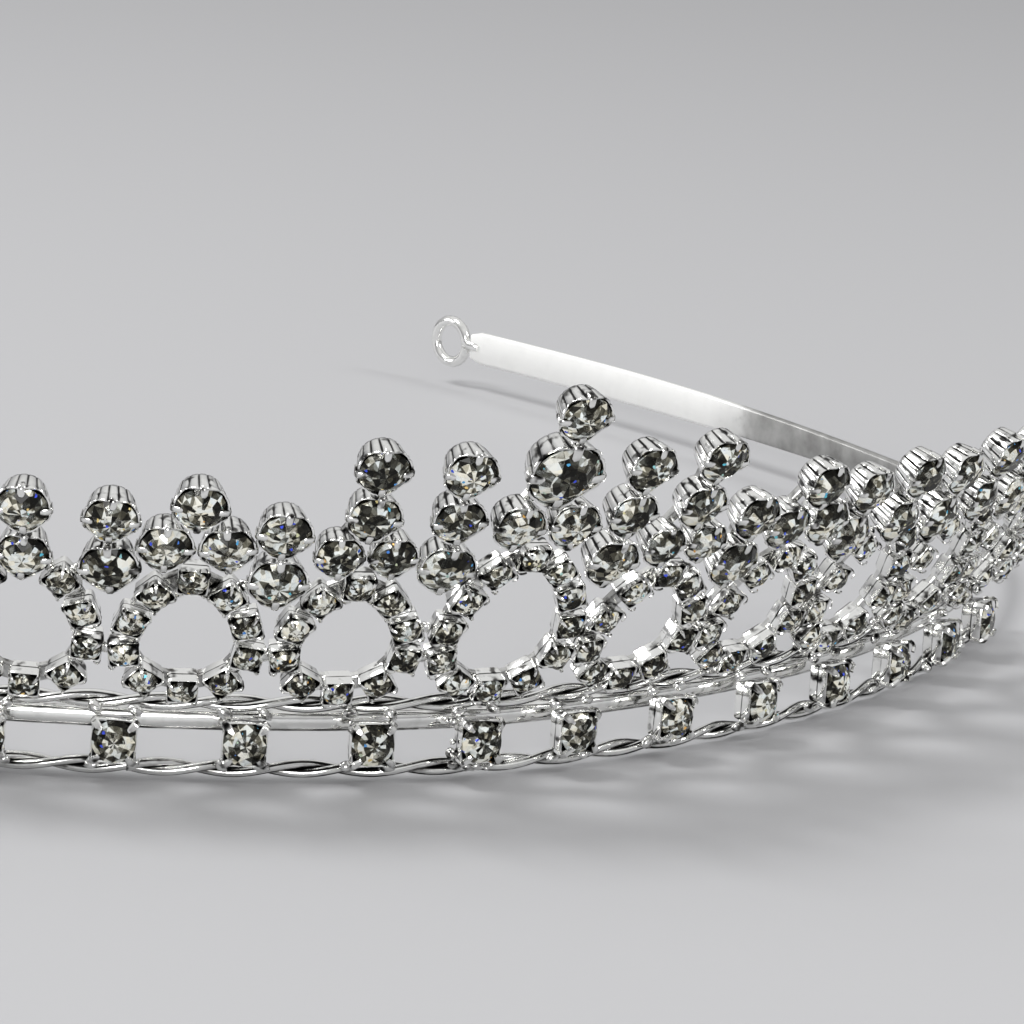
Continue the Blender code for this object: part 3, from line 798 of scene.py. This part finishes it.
def panel(s):
    """The leaning panel's frame: X along the band, Y up the panel, Z out of its face."""
    point, tangent, outward = plan(s)
    upwards = Vector((0, 0, math.cos(LEAN))) + math.sin(LEAN) * outward
    origin = point + PANEL_FORWARD * outward + Vector((0, 0, UPPER_ROPE_Z + PANEL_UP))
    return frame_of(origin, tangent, upwards, tangent.cross(upwards))


print("the panel is", round(2 * LOOPS[-1] * LOOP_PITCH / MM), "mm long between its last loops")

# %% [markdown]
# ## Loops of cup chain
#
# A loop is a length of cup chain bent to an egg. Its cups are spaced evenly along the line, so
# the line is measured first and then divided. Each loop is just as wide as its pitch and a
# small gap leave, and wider at its foot than at its top.

# %% Loops
LOOP_GAP, CHAIN_PITCH = 0.35 * MM, 2.93 * MM
LOOP_TAPER, LOOP_FOOT = 0.22, 1.7 * MM
LOOP_HEIGHTS = {0: 11.8 * MM, 1: 9.4 * MM, 2: 9.7 * MM}
OTHER_LOOP_HEIGHT = 10.8 * MM
LINE_STEPS = 240


def loop_height(k):
    return LOOP_HEIGHTS.get(abs(k), OTHER_LOOP_HEIGHT)


def loop_half_width(k):
    waist = Vector((0, LOOP_FOOT + loop_height(k) / 2, 0))
    k = abs(k)
    room = (panel((k + 1) * LOOP_PITCH) @ waist - panel(k * LOOP_PITCH) @ waist).length
    room -= 2 * CHAIN_CUP + LOOP_GAP
    return room / 2 if k else room - loop_half_width(1)


def loop_cups(k):
    """Frames of a loop's cups on its panel, from its foot. An apex cup's place is None."""
    half, points = loop_half_width(k), []
    for i in range(LINE_STEPS + 1):
        t = 2 * math.pi * i / LINE_STEPS
        x = half * math.sin(t) * (1 + LOOP_TAPER * math.cos(t))
        points.append(Vector((x, LOOP_FOOT + loop_height(k) / 2 * (1 - math.cos(t)), 0)))
    lengths = [0.0]
    for a, b in zip(points, points[1:]):
        lengths.append(lengths[-1] + (b - a).length)
    count = 2 * round(lengths[-1] / CHAIN_PITCH / 2)
    cups, i = [], 0
    for n in range(count):
        target = lengths[-1] * n / count
        while lengths[i + 1] <= target:
            i += 1
        share = (target - lengths[i]) / (lengths[i + 1] - lengths[i])
        direction = (points[i + 1] - points[i - 1 if i else -2]).normalized()
        across = Vector((-direction.y, direction.x, 0))
        place = points[i].lerp(points[i + 1], share)
        cups.append(frame_of(place, direction, across, Vector((0, 0, 1))))
    if abs(k) > 2:
        cups[count // 2] = None
    return cups


for k in (0, 1, 2, 3):
    width = round(2 * loop_half_width(k) / MM, 1)
    print("loop", k, "is", width, "mm wide, with", len(loop_cups(k)), "places")

# %% [markdown]
# ## Seats of the round cups
#
# The lowest round cup of a column sinks until it all but touches the chain cups below. That
# could be worked out by hand for two squares and a circle, but a short search in small steps
# says the same thing and holds for any shape of loop.

# %% Seat of a round cup
SEAT_GAP, SEAT_STEP = 0.2 * MM, 0.02 * MM
OUTLINE_POINTS = 16  # of a square cup, for the search


def seat_above(k, radius, loops):
    """The lowest height on the panel of k where a round cup clears the cups of these loops."""
    inverse, sides = panel(k * LOOP_PITCH).inverted(), []
    for loop in loops:
        for cup in filter(None, loop_cups(loop)):
            place = inverse @ panel(loop * LOOP_PITCH) @ cup
            for i in range(OUTLINE_POINTS):
                angle = 2 * math.pi * i / OUTLINE_POINTS
                reach = CHAIN_CUP / max(abs(math.cos(angle)), abs(math.sin(angle)))
                sides.append((place @ Vector((reach * math.cos(angle), reach * math.sin(angle), RIM))).xy)
    v = max(side.y for side in sides) + radius + SEAT_GAP
    while min((side - Vector((0, v - SEAT_STEP))).length for side in sides) > radius + SEAT_GAP:
        v -= SEAT_STEP
    return v


print("a large cup seats", round(seat_above(0.5, JUNCTION_CUP, (0, 1)) / MM, 2), "mm up the panel")

# %% [markdown]
# ## Crests and junction columns
#
# A crest stands on each loop: four cups on the middle three loops, three on the next two, and
# then columns of one or two. A junction column stands between two loops, on one larger cup. Each
# cup above the lowest rests on the one or two under it, which is one right triangle.

# %% Crests and junctions
def crest_cups(k):
    """(x, v, radius) of a crest's cups, and the pairs that a link joins."""
    top = LOOP_FOOT + loop_height(k)
    if abs(k) > 2:
        apex = seat_above(k, CREST_CUP, (k,))
        cups = [(0, apex, CREST_CUP)]
        if abs(k) < 6:
            cups.append((0, apex + 2 * CREST_CUP + SEAT_GAP, CREST_CUP))
        return cups, [(0, 1)][: len(cups) - 1]
    lower = PAIR_CUP if abs(k) == 1 else CREST_CUP
    aside, reach = lower + SEAT_GAP / 2, lower + SEAT_GAP
    pair = top + CHAIN_CUP + math.sqrt(reach**2 - (aside - CHAIN_CUP) ** 2)
    cups = [(-aside, pair, lower), (aside, pair, lower)]
    third = CENTRE_CUP if k == 0 else CREST_CUP
    cups.append((0, pair + math.sqrt((lower + third + SEAT_GAP) ** 2 - aside**2), third))
    if abs(k) < 2:
        cups.append((0, cups[2][1] + third + CREST_CUP + SEAT_GAP, CREST_CUP))
    return cups, [(0, 2), (1, 2), (2, 3)][: len(cups) - 1]


def junction_cups(k):
    """The same for the column between two loops, where k ends in a half."""
    v, below = seat_above(k, JUNCTION_CUP, (math.floor(k), math.ceil(k))), JUNCTION_CUP
    cups = [(0, v, JUNCTION_CUP)]
    for _ in range(2 if abs(k) < 1 else 1):
        v, below = v + below + CREST_CUP + SEAT_GAP, CREST_CUP
        cups.append((0, v, CREST_CUP))
    return cups, [(i, i + 1) for i in range(len(cups) - 1)]


print("the centre crest has", len(crest_cups(0)[0]), "cups and the next column", len(junction_cups(0.5)[0]))

# %% [markdown]
# ## All the places
#
# With the rules in place, the whole panel is a few loops over them. The places are gathered
# before anything is made, because the settings, the stones, the links and the solder all stand
# by them.

# %% Places of cups and links
LINK_REACH = 0.57  # how far a link reaches in under a round cup, over the cup's radius
BORDER_FIRST, BORDER_PITCH = 7.4 * MM, 8.5 * MM
BORDER_FORWARD = 0.65 * MM

loops, chain_links = [], []
for k in LOOPS:
    cups, stand = loop_cups(k), panel(k * LOOP_PITCH)
    loops.append([stand @ cup for cup in cups if cup])
    for here, after in zip(cups, cups[1:] + cups[:1]):
        if here and after:
            chain_links.append((stand, here.translation, after.translation))
chain_places = [place for loop in loops for place in loop]

round_places, round_links = [], []
for k in [n / 2 for n in range(2 * LOOPS[0], 2 * LOOPS[-1] + 1)]:
    cups, links = crest_cups(int(k)) if k == int(k) else junction_cups(k)
    stand = panel(k * LOOP_PITCH)
    for x, v, radius in cups:
        round_places.append((stand @ Matrix.Translation((x, v, 0)), radius))
    for a, b in links:
        start, end = Vector((*cups[a][:2], 0)), Vector((*cups[b][:2], 0))
        along = (end - start).normalized()
        start += LINK_REACH * cups[a][2] * along
        end -= LINK_REACH * cups[b][2] * along
        round_links.append((stand, start, end))

border_places = []
for j in range(-7, 8):
    s = math.copysign(BORDER_FIRST + (abs(j) - 1) * BORDER_PITCH, j) if j else 0.0
    out = BORDER_FORWARD + BORDER_DEPTH - RIM
    border_places.append(upright(s, out, (LOWER_ROPE_Z + UPPER_ROPE_Z) / 2))
print(len(chain_places), "chain cups,", len(round_places), "round cups,", len(border_places), "border cups")

# %% [markdown]
# ## Claws
#
# A few patterns repeat all over the tiara, so each is modelled once at size 1, and a node tree
# later sets copies of it where it belongs. What they share is the claw: a strip that stands up
# from the cup's wall and is bent over the stone's edge. Its path gives its width and its painted shade.

# %% Patterns: a claw
# The strip's section: (across, outwards), in half widths and thicknesses.
CLAW_SECTION = [(-1, 0), (-0.6, 1), (0.6, 1), (1, 0), (0, -0.6)]
# Painted shade on the claw's edges and underside.
CLAW_SHADE = 0.15  # darkness of its edges and underside


def painted_shade_layer(bm):
    return bm.verts.layers.float.new("crease")


def marked_vert(bm, layer, point, darkness):
    vert = bm.verts.new(point)
    vert[layer] = darkness
    return vert


def claw(bm, layer, angle, path, thick):
    """A bent strip whose path is (distance out, height, half width, darkness) from root to tip."""
    rings = []
    out = Vector((math.cos(angle), math.sin(angle), 0))
    side = Vector((-out.y, out.x, 0))
    for i, (reach, z, half, dark) in enumerate(path):
        a, b = path[max(i - 1, 0)], path[min(i + 1, len(path) - 1)]
        along = Vector((b[0] - a[0], b[1] - a[1])).normalized()
        normal = Vector((along.y, -along.x))
        ring = []
        for across, lift in CLAW_SECTION:
            r, h = reach + normal.x * lift * thick, z + normal.y * lift * thick
            point = r * out + across * half * side + Vector((0, 0, h))
            ring.append(marked_vert(bm, layer, point, dark if lift > 0 else CLAW_SHADE))
        rings.append(ring)
    skin(bm, rings)


# The last number of each point is the claw's painted shade.
ROUND_CLAW = [(0.94, -0.3, 0.12, 0.0), (1.0, 0.03, 0.13, 0.1), (0.98, 0.10, 0.13, 0.5)]
ROUND_CLAW += [(0.91, 0.145, 0.125, 0.2), (0.74, 0.175, 0.12, 0.0), (0.59, 0.17, 0.1, 0.0)]
ROUND_CLAW += [(0.54, 0.14, 0.055, 0.0)]
print("a round cup's claw reaches in to", ROUND_CLAW[-1][0], "of its radius")

# %% [markdown]
# ## The round setting
#
# The cup is drawn from sheet, pressed into sixteen flutes and left with a wavy rim. A profile is
# turned round, and each of its points says how much the flutes and the wave move it, and how dark
# its painted shade is. The valley between two flutes is narrow, which a power of a sine gives, and
# it gets painted shade as well.

# %% Patterns: the round setting
FLUTES, FLUTE_STEPS = 16, 6
FLUTE_DEPTH, VALLEY_SHARPNESS = 0.07, 3.2
WAVE, WAVES, RIM_NICK = 0.09, 4, 0.04
ROUND_CLAWS, ROUND_CLAW_THICK = 4, 0.045
# Each row: radius, height, share of the flutes, share of the rim's wave, darkness of painted shade.
ROUND_PROFILE = [(0.30, -0.94, 0, 0, 0.6), (0.36, -1.0, 0, 0, 0), (0.66, -1.0, 0, 0, 0)]
ROUND_PROFILE += [(0.74, -0.95, 0.4, 0, 0), (0.80, -0.80, 1, 0, 0), (0.90, -0.42, 1, 0, 0)]
ROUND_PROFILE += [(0.965, -0.10, 1, 0.5, 0), (1.0, 0.0, 0.6, 1, 0), (0.985, 0.035, 0.3, 1, 0)]
ROUND_PROFILE += [(0.93, 0.03, 0.3, 1, 0), (0.89, -0.05, 0.2, 1, 0.5)]
ROUND_PROFILE += [(0.86, -0.34, 0, 0, 0.9), (0.5, -0.4, 0, 0, 0.9)]


def round_setting():
    """Radius 1 and depth 1, with its rim in the plane Z = 0."""
    bm = bmesh.new()
    layer = painted_shade_layer(bm)
    count = FLUTES * FLUTE_STEPS
    rings = []
    for radius, z, fluted, waved, darkness in ROUND_PROFILE:
        ring = []
        for i in range(count):
            valley = (1 - abs(math.sin(math.pi * i / FLUTE_STEPS))) ** VALLEY_SHARPNESS
            angle = 2 * math.pi * (i + FLUTE_STEPS / 2) / count
            r = radius * (1 - FLUTE_DEPTH * valley * fluted)
            lift = WAVE * waved * math.cos(WAVES * angle) - RIM_NICK * valley * fluted * waved
            point = (r * math.cos(angle), r * math.sin(angle), z + lift)
            # Painted shade: the profile's darkness, or the flute valley's.
            ring.append(marked_vert(bm, layer, point, max(darkness, valley * fluted)))
        rings.append(ring)
    skin(bm, rings)
    for i in range(ROUND_CLAWS):
        claw(bm, layer, 2 * math.pi * i / ROUND_CLAWS, ROUND_CLAW, ROUND_CLAW_THICK)
    return smooth_mesh(bm, "round_setting", math.radians(50))


round_cup = round_setting()
print("a round setting has", len(round_cup.polygons), "faces")

# %% [markdown]
# ## The square setting
#
# A link of cup chain is a square box with rounded corners, a pressed line round its wall and a
# claw at each corner, with painted shade in the pressed line, inside the box and on the claws. The
# border's settings are the same thing with wider and thicker claws.

# %% Patterns: the square setting
# Each row: half side, height, darkness of painted shade.
SQUARE_PROFILE = [(0.74, -1.0, 0.1), (0.86, -0.9, 0.0), (0.91, -0.55, 0.0), (0.905, -0.49, 0.75)]
SQUARE_PROFILE += [(0.92, -0.43, 0.0), (0.96, -0.08, 0.0), (0.93, 0.0, 0.0), (0.85, -0.04, 0.5)]
SQUARE_PROFILE += [(0.80, -0.5, 1.0)]
SQUARE_BEND, SQUARE_BEND_STEPS = 0.22, 2  # a corner's radius over the half side


def square_setting(wide, thick):
    """Half side 1 and depth 1, with its rim in the plane Z = 0, and a claw at each corner."""
    bm = bmesh.new()
    layer = painted_shade_layer(bm)
    rings = []
    for half, z, dark in SQUARE_PROFILE:
        corners = rounded_corners(half, half, SQUARE_BEND * half, SQUARE_BEND_STEPS)
        rings.append([marked_vert(bm, layer, (x, y, z), dark) for x, y in corners])
    skin(bm, rings)
    # Painted shade on the claws, the last number of each point.
    path = [(1.20, -0.4, wide, 0.1), (1.25, 0.02, wide, 0.3), (1.17, 0.15, wide, 0.4)]
    path += [(0.98, 0.25, wide * 0.9, 0.0), (0.78, 0.28, wide * 0.5, 0.0)]
    for i in range(4):
        claw(bm, layer, math.pi / 2 * (i + 0.5), path, thick)
    return smooth_mesh(bm, "square_setting", math.radians(40))


chain_cup = square_setting(wide=0.11, thick=0.05)
border_cup = square_setting(wide=0.17, thick=0.1)
print("a square setting has", len(chain_cup.polygons), "faces")

# %% [markdown]
# ## The stones
#
# The stones are round brilliants. Their facets follow from three rings of points: the table's
# corners, the star points between them and twice as many points round the girdle. The height
# of a star point is what keeps the large kite facets flat.

# %% Patterns: the brilliant
STAR_SHARE = 0.62  # how far out a star point lies, from the table to the girdle
GIRDLE_TOP, GIRDLE_BOTTOM = 0.02, -0.04


def brilliant(girdle, table, crown, pavilion=0.3):
    """A stone with these radii of girdle and table, and these heights of crown and pavilion."""
    bm = bmesh.new()
    star = STAR_SHARE * girdle + (1 - STAR_SHARE) * table
    star_height = crown * (girdle - star * math.cos(math.pi / 8)) / (girdle - table)

    def ring(count, radius, z, turn=0.0):
        angles = [2 * math.pi * (i + turn) / count for i in range(count)]
        return [bm.verts.new((radius * math.cos(a), radius * math.sin(a), z)) for a in angles]

    top, stars = ring(8, table, crown), ring(8, star, star_height, 0.5)
    edge, belt = ring(16, girdle, GIRDLE_TOP), ring(16, girdle, GIRDLE_BOTTOM)
    tip = bm.verts.new((0, 0, -pavilion))
    bm.faces.new(top)
    for i in range(8):
        j = (i + 1) % 8
        bm.faces.new((top[i], stars[i], top[j]))
        bm.faces.new((top[i], stars[i - 1], edge[2 * i], stars[i]))
        bm.faces.new((stars[i], edge[2 * i], edge[2 * i + 1]))
        bm.faces.new((stars[i], edge[2 * i + 1], edge[(2 * i + 2) % 16]))
    for i in range(16):
        j = (i + 1) % 16
        bm.faces.new((edge[i], edge[j], belt[j], belt[i]))
        bm.faces.new((belt[i], belt[j], tip))
    bmesh.ops.recalc_face_normals(bm, faces=bm.faces)
    return to_mesh(bm, "brilliant")


chain_stone = brilliant(girdle=0.88, table=0.47, crown=0.27)
border_stone = brilliant(girdle=0.92, table=0.5, crown=0.3)
round_stone = brilliant(girdle=0.88, table=0.46, crown=0.34)
print("a stone has", len(round_stone.polygons), "facets")

# %% [markdown]
# ## Copies on points
#
# The places are points that carry a turn and a size, and one tree sets a copy of a pattern on
# each. For stones the tree also stores what the crystal reads: a number for each stone and one
# for each facet, and where a point and a facet's middle lie in the stone's own cut. The numbers
# come from a fixed seed.

# %% Tree: copies on points
def copies_tree(name, finish, facets=False):
    tree, bench, given = geometry_tree(name, {"Pattern": "Object", "Seed": "Int"})
    pattern = bench.add("GeometryNodeObjectInfo", None, {"Object": given["Pattern"]}, out="Geometry")
    if facets:
        for mark, domain in (("cut", "POINT"), ("middle", "FACE")):
            here = bench.add("GeometryNodeInputPosition")
            pattern = store(bench, pattern, VECTOR, mark, here, domain)
    turn = bench.add("FunctionNodeEulerToRotation", None, {"Euler": stored(bench, VECTOR, "turn")})
    copies = {"Points": given["Geometry"], "Instance": pattern, "Rotation": turn}
    copies["Scale"] = stored(bench, VECTOR, "size")
    shape = bench.add("GeometryNodeInstanceOnPoints", None, copies)
    if facets:
        for mark, domain in (("stone", "INSTANCE"), ("facet", "FACE")):
            if domain == "FACE":
                shape = bench.add("GeometryNodeRealizeInstances", None, {"Geometry": shape})
            seed = {"Seed": given["Seed"]}
            chance = bench.add("FunctionNodeRandomValue", {"data_type": "FLOAT"}, seed, out=1)
            shape = store(bench, shape, NUMBER, mark, chance, domain)
    end_tree(bench, shape, finish)
    print(name, "has", len(tree.nodes), "nodes")
    return tree


metal_copies = copies_tree("metal_copies", silver)
link_copies = copies_tree("link_copies", wire_silver)
stone_copies = copies_tree("stone_copies", crystal, facets=True)

# %% [markdown]
# The tree needs its points as a mesh, and its pattern as an object that only lives as long as
# the copies take to make.

# %% A piece made of copies
def points_mesh(places):
    """A mesh of points, one for each (matrix, size), that carry their turn and size."""
    mesh = bpy.data.meshes.new("points")
    mesh.from_pydata([matrix.translation for matrix, _ in places], [], [])
    turn = mesh.attributes.new("turn", VECTOR, "POINT")
    size = mesh.attributes.new("size", VECTOR, "POINT")
    for i, (matrix, scale) in enumerate(places):
        turn.data[i].vector = matrix.to_euler()
        size.data[i].vector = scale
    return mesh


def copies(name, pattern, places, tree, slot, stands_for=(), seed=1):
    """A piece made of copies of the pattern, one at each of the places."""
    template = new_object("pattern", pattern)
    mesh = run_tree(points_mesh(places), tree, {"Pattern": template, "Seed": seed})
    bpy.data.objects.remove(template)
    put_in_scene(name, mesh, stands_for)


print(len(chain_places + round_places + border_places), "settings are waiting for their cups")

# %% [markdown]
# ## Cups and stones on the tiara
#
# Nobody solders two hundred cups quite straight. Each place is turned and tipped by a few random
# degrees, the same for a cup and its stone. A larger round cup is deeper too, but its depth
# grows more slowly than its radius.

# %% Settings of the loops, the border and the crests
CREST_DEPTH = 1.9 * MM
DEPTH_GROWTH = 0.4  # of a cup's depth with its radius
CHAIN_TIP, BORDER_TIP, CREST_TIP = 1.5, 1.0, 3.0  # degrees


def by_hand(matrix, degrees):
    """The place as a hand leaves it: turned and tipped a little."""
    turn = Matrix.Rotation(math.radians(rng.uniform(-degrees, degrees)) * 2, 4, "Z")
    tip = Matrix.Rotation(math.radians(rng.uniform(-degrees, degrees)), 4, "X")
    return matrix @ Matrix.Translation((0, 0, RIM)) @ turn @ tip


def cup_depth(radius):
    return CREST_DEPTH * (1 - DEPTH_GROWTH + DEPTH_GROWTH * radius / CREST_CUP)


def nodes_named(*starts):
    return [name for name in nodes if name.startswith(starts)]


chain = [(by_hand(place, CHAIN_TIP), (CHAIN_CUP, CHAIN_CUP, CHAIN_DEPTH)) for place in chain_places]
copies("loop_cups", chain_cup, chain, metal_copies, "silver_plate", nodes_named("loop_"))
copies("loop_stones", chain_stone, chain, stone_copies, "crystal", seed=3)

border_size = (BORDER_CUP, BORDER_CUP, BORDER_DEPTH)
border = [(by_hand(place, BORDER_TIP), border_size) for place in border_places]
copies("border_cups", border_cup, border, metal_copies, "silver_plate", nodes_named("border_"))
copies("border_stones", border_stone, border, stone_copies, "crystal", seed=11)

rounds = [(by_hand(place, CREST_TIP), (r, r, cup_depth(r))) for place, r in round_places]
round_nodes = nodes_named("crest_", "junction_")
copies("crest_cups", round_cup, rounds, metal_copies, "silver_plate", round_nodes)
stone_nodes = ["centre_stone", "crown_stone"]
copies("crest_stones", round_stone, rounds, stone_copies, "crystal", stone_nodes, seed=23)

# %% [markdown]
# ## Links
#
# Behind the cups, short strips join each cup to the next, and soldered bars join the crests. A
# tab behind each loop's lowest cup stands on the upper rope and carries the loop. All of them
# are one bevelled strip, stretched between two points and darkened with painted shade, as it lies behind the
# cups.

# %% Links behind the cups
CHAIN_STRIP = (1.3 * MM, 0.45 * MM)  # width and thickness
CREST_BAR, FOOT_TAB = (0.9 * MM, 0.5 * MM), (1.1 * MM, 0.6 * MM)
TAB_START, TAB_DEPTH = -0.3 * MM, 2.0 * MM
# Painted shade over the whole strip, which lies behind the cups.
STRIP_SHADE, STRIP_BEVEL = 0.34, 0.25


def link_place(stand, start, end, depth, width, thick):
    """(matrix, size) of a strip from start to end, near the backs of cups of that depth."""
    along, middle = (end - start).normalized(), (start + end) / 2
    across = Vector((-along.y, along.x, 0))
    middle.z = RIM - depth + thick
    matrix = stand @ frame_of(middle, along, across, Vector((0, 0, 1)))
    return matrix, ((end - start).length / 2, width / 2, thick / 2)


def strip_pattern():
    bm = bmesh.new()
    layer = painted_shade_layer(bm)
    bmesh.ops.create_cube(bm, size=2)
    bmesh.ops.bevel(bm, geom=bm.edges[:], offset=STRIP_BEVEL, segments=2, affect="EDGES")
    for vert in bm.verts:
        vert[layer] = STRIP_SHADE
    return smooth_mesh(bm, "strip")


links = [link_place(*link, CHAIN_DEPTH, *CHAIN_STRIP) for link in chain_links]
for k in LOOPS:
    start, end = Vector((0, TAB_START, 0)), Vector((0, LOOP_FOOT, 0))
    links.append(link_place(panel(k * LOOP_PITCH), start, end, TAB_DEPTH, *FOOT_TAB))
links += [link_place(*link, CREST_DEPTH, *CREST_BAR) for link in round_links]
copies("links", strip_pattern(), links, link_copies, "silver_plate")

# %% [markdown]
# ## Solder
#
# The tiara is put together with a torch. Beads of solder hold each loop to the next, the crests
# to the loops and the border to the ropes, and they set as smooth uneven lumps, with painted
# shade in the hollows between their swellings. One lump is modelled, and each copy gets its own turn and
# size.

# %% One bead of solder
SWELLS, SWELL_SHARPNESS = 6, 6
# Painted shade in the hollows between the swellings.
HOLLOW, HOLLOW_SHADE = 0.72, 0.4  # its radius and darkness between the swellings


def solder_bead():
    bm = bmesh.new()
    layer = painted_shade_layer(bm)
    bmesh.ops.create_icosphere(bm, subdivisions=2, radius=1)
    draws = [(rng.gauss(0, 1), rng.gauss(0, 1), rng.gauss(0, 1)) for _ in range(SWELLS)]
    swells = [Vector(draw).normalized() for draw in draws]
    for vert in bm.verts:
        swell = max(vert.co.normalized().dot(middle) for middle in swells) ** SWELL_SHARPNESS
        vert.co *= HOLLOW + (1 - HOLLOW) * swell
        vert[layer] = HOLLOW_SHADE * (1 - swell)
    return smooth_mesh(bm, "bead", math.radians(80))


def bead(place, point, radius, stretch=1.2):
    """(matrix, size) of a bead at a point of the place, turned a little and drawn out along X."""
    turn = Matrix.Rotation(rng.uniform(-0.6, 0.6), 4, "Z") @ Matrix.Rotation(rng.uniform(0, math.pi), 4, "X")
    size = [radius * rng.uniform(0.75, 1.1) for _ in range(3)]
    size[0] *= stretch
    return place @ Matrix.Translation(point) @ turn, size


print("a lump has", SWELLS, "swellings")

# %% [markdown]
# The beads go where pieces meet: between the cups of neighbouring loops, under each round cup
# where it passes a chain cup, at the corners of the border's settings, and behind each loop's
# foot. The centre of the border has a lump of its own, where the two halves were joined.

# %% Where the beads go
NEIGHBOURS = 3.0 * MM  # chain cups of two loops that are closer than this are soldered
BORDER_CORNERS = [(x * MM, y * MM) for x in (-1.35, 1.35) for y in (-1.9, 1.9)]  # of a setting
TOUCHING = 1.3 * CHAIN_CUP  # a chain cup that is closer than this to a round one is soldered
LOOP_BEAD, CREST_BEAD, BORDER_BEAD, FOOT_BEAD = 0.5 * MM, 0.48 * MM, 0.5 * MM, 0.62 * MM
FOOT = (0, -0.1 * MM, -1.1 * MM)  # on a loop's panel, behind its lowest cup
LUMPS = 9  # pairs of beads at the centre, beside the setting and under it

beads = []
for loop, following in zip(loops, loops[1:]):
    for here in loop:
        for there in following:
            if (there.translation - here.translation).length < NEIGHBOURS:
                middle = here.inverted() @ ((here.translation + there.translation) / 2)
                beads.append(bead(here, (middle.x, middle.y, 0.1 * MM), LOOP_BEAD))
for place, radius in round_places:
    for cup in chain_places:
        towards = place.inverted() @ cup.translation
        if towards.length < radius + TOUCHING:
            touch = towards.xy * (radius / (radius + CHAIN_CUP))
            beads.append(bead(place, (*touch, -0.2 * MM), CREST_BEAD))
for place in border_places:
    for corner in BORDER_CORNERS:
        beads.append(bead(place, (*corner, rng.uniform(-0.8, -0.3) * MM), BORDER_BEAD, 1.5))
centre = border_places[len(border_places) // 2]
for _ in range(LUMPS):
    side = (rng.uniform(-2.0, -1.6) * MM, rng.uniform(-1.3, 1.9) * MM, rng.uniform(-0.6, -0.1) * MM)
    foot = (rng.uniform(-1.3, 1.3) * MM, rng.uniform(-2.1, -1.8) * MM, rng.uniform(-0.5, 0.1) * MM)
    beads += [bead(centre, point, rng.uniform(0.25, 0.42) * MM) for point in (side, foot)]
for k in LOOPS:
    beads.append(bead(panel(k * LOOP_PITCH), FOOT, FOOT_BEAD, 1.4))
print(len(beads), "beads of solder")
copies("solder", solder_bead(), beads, metal_copies, "silver_plate")

# %% [markdown]
# ## Sizes and the end
# The finished pieces have to stay inside the CAD model's box. The frame then takes over and
# places everything.
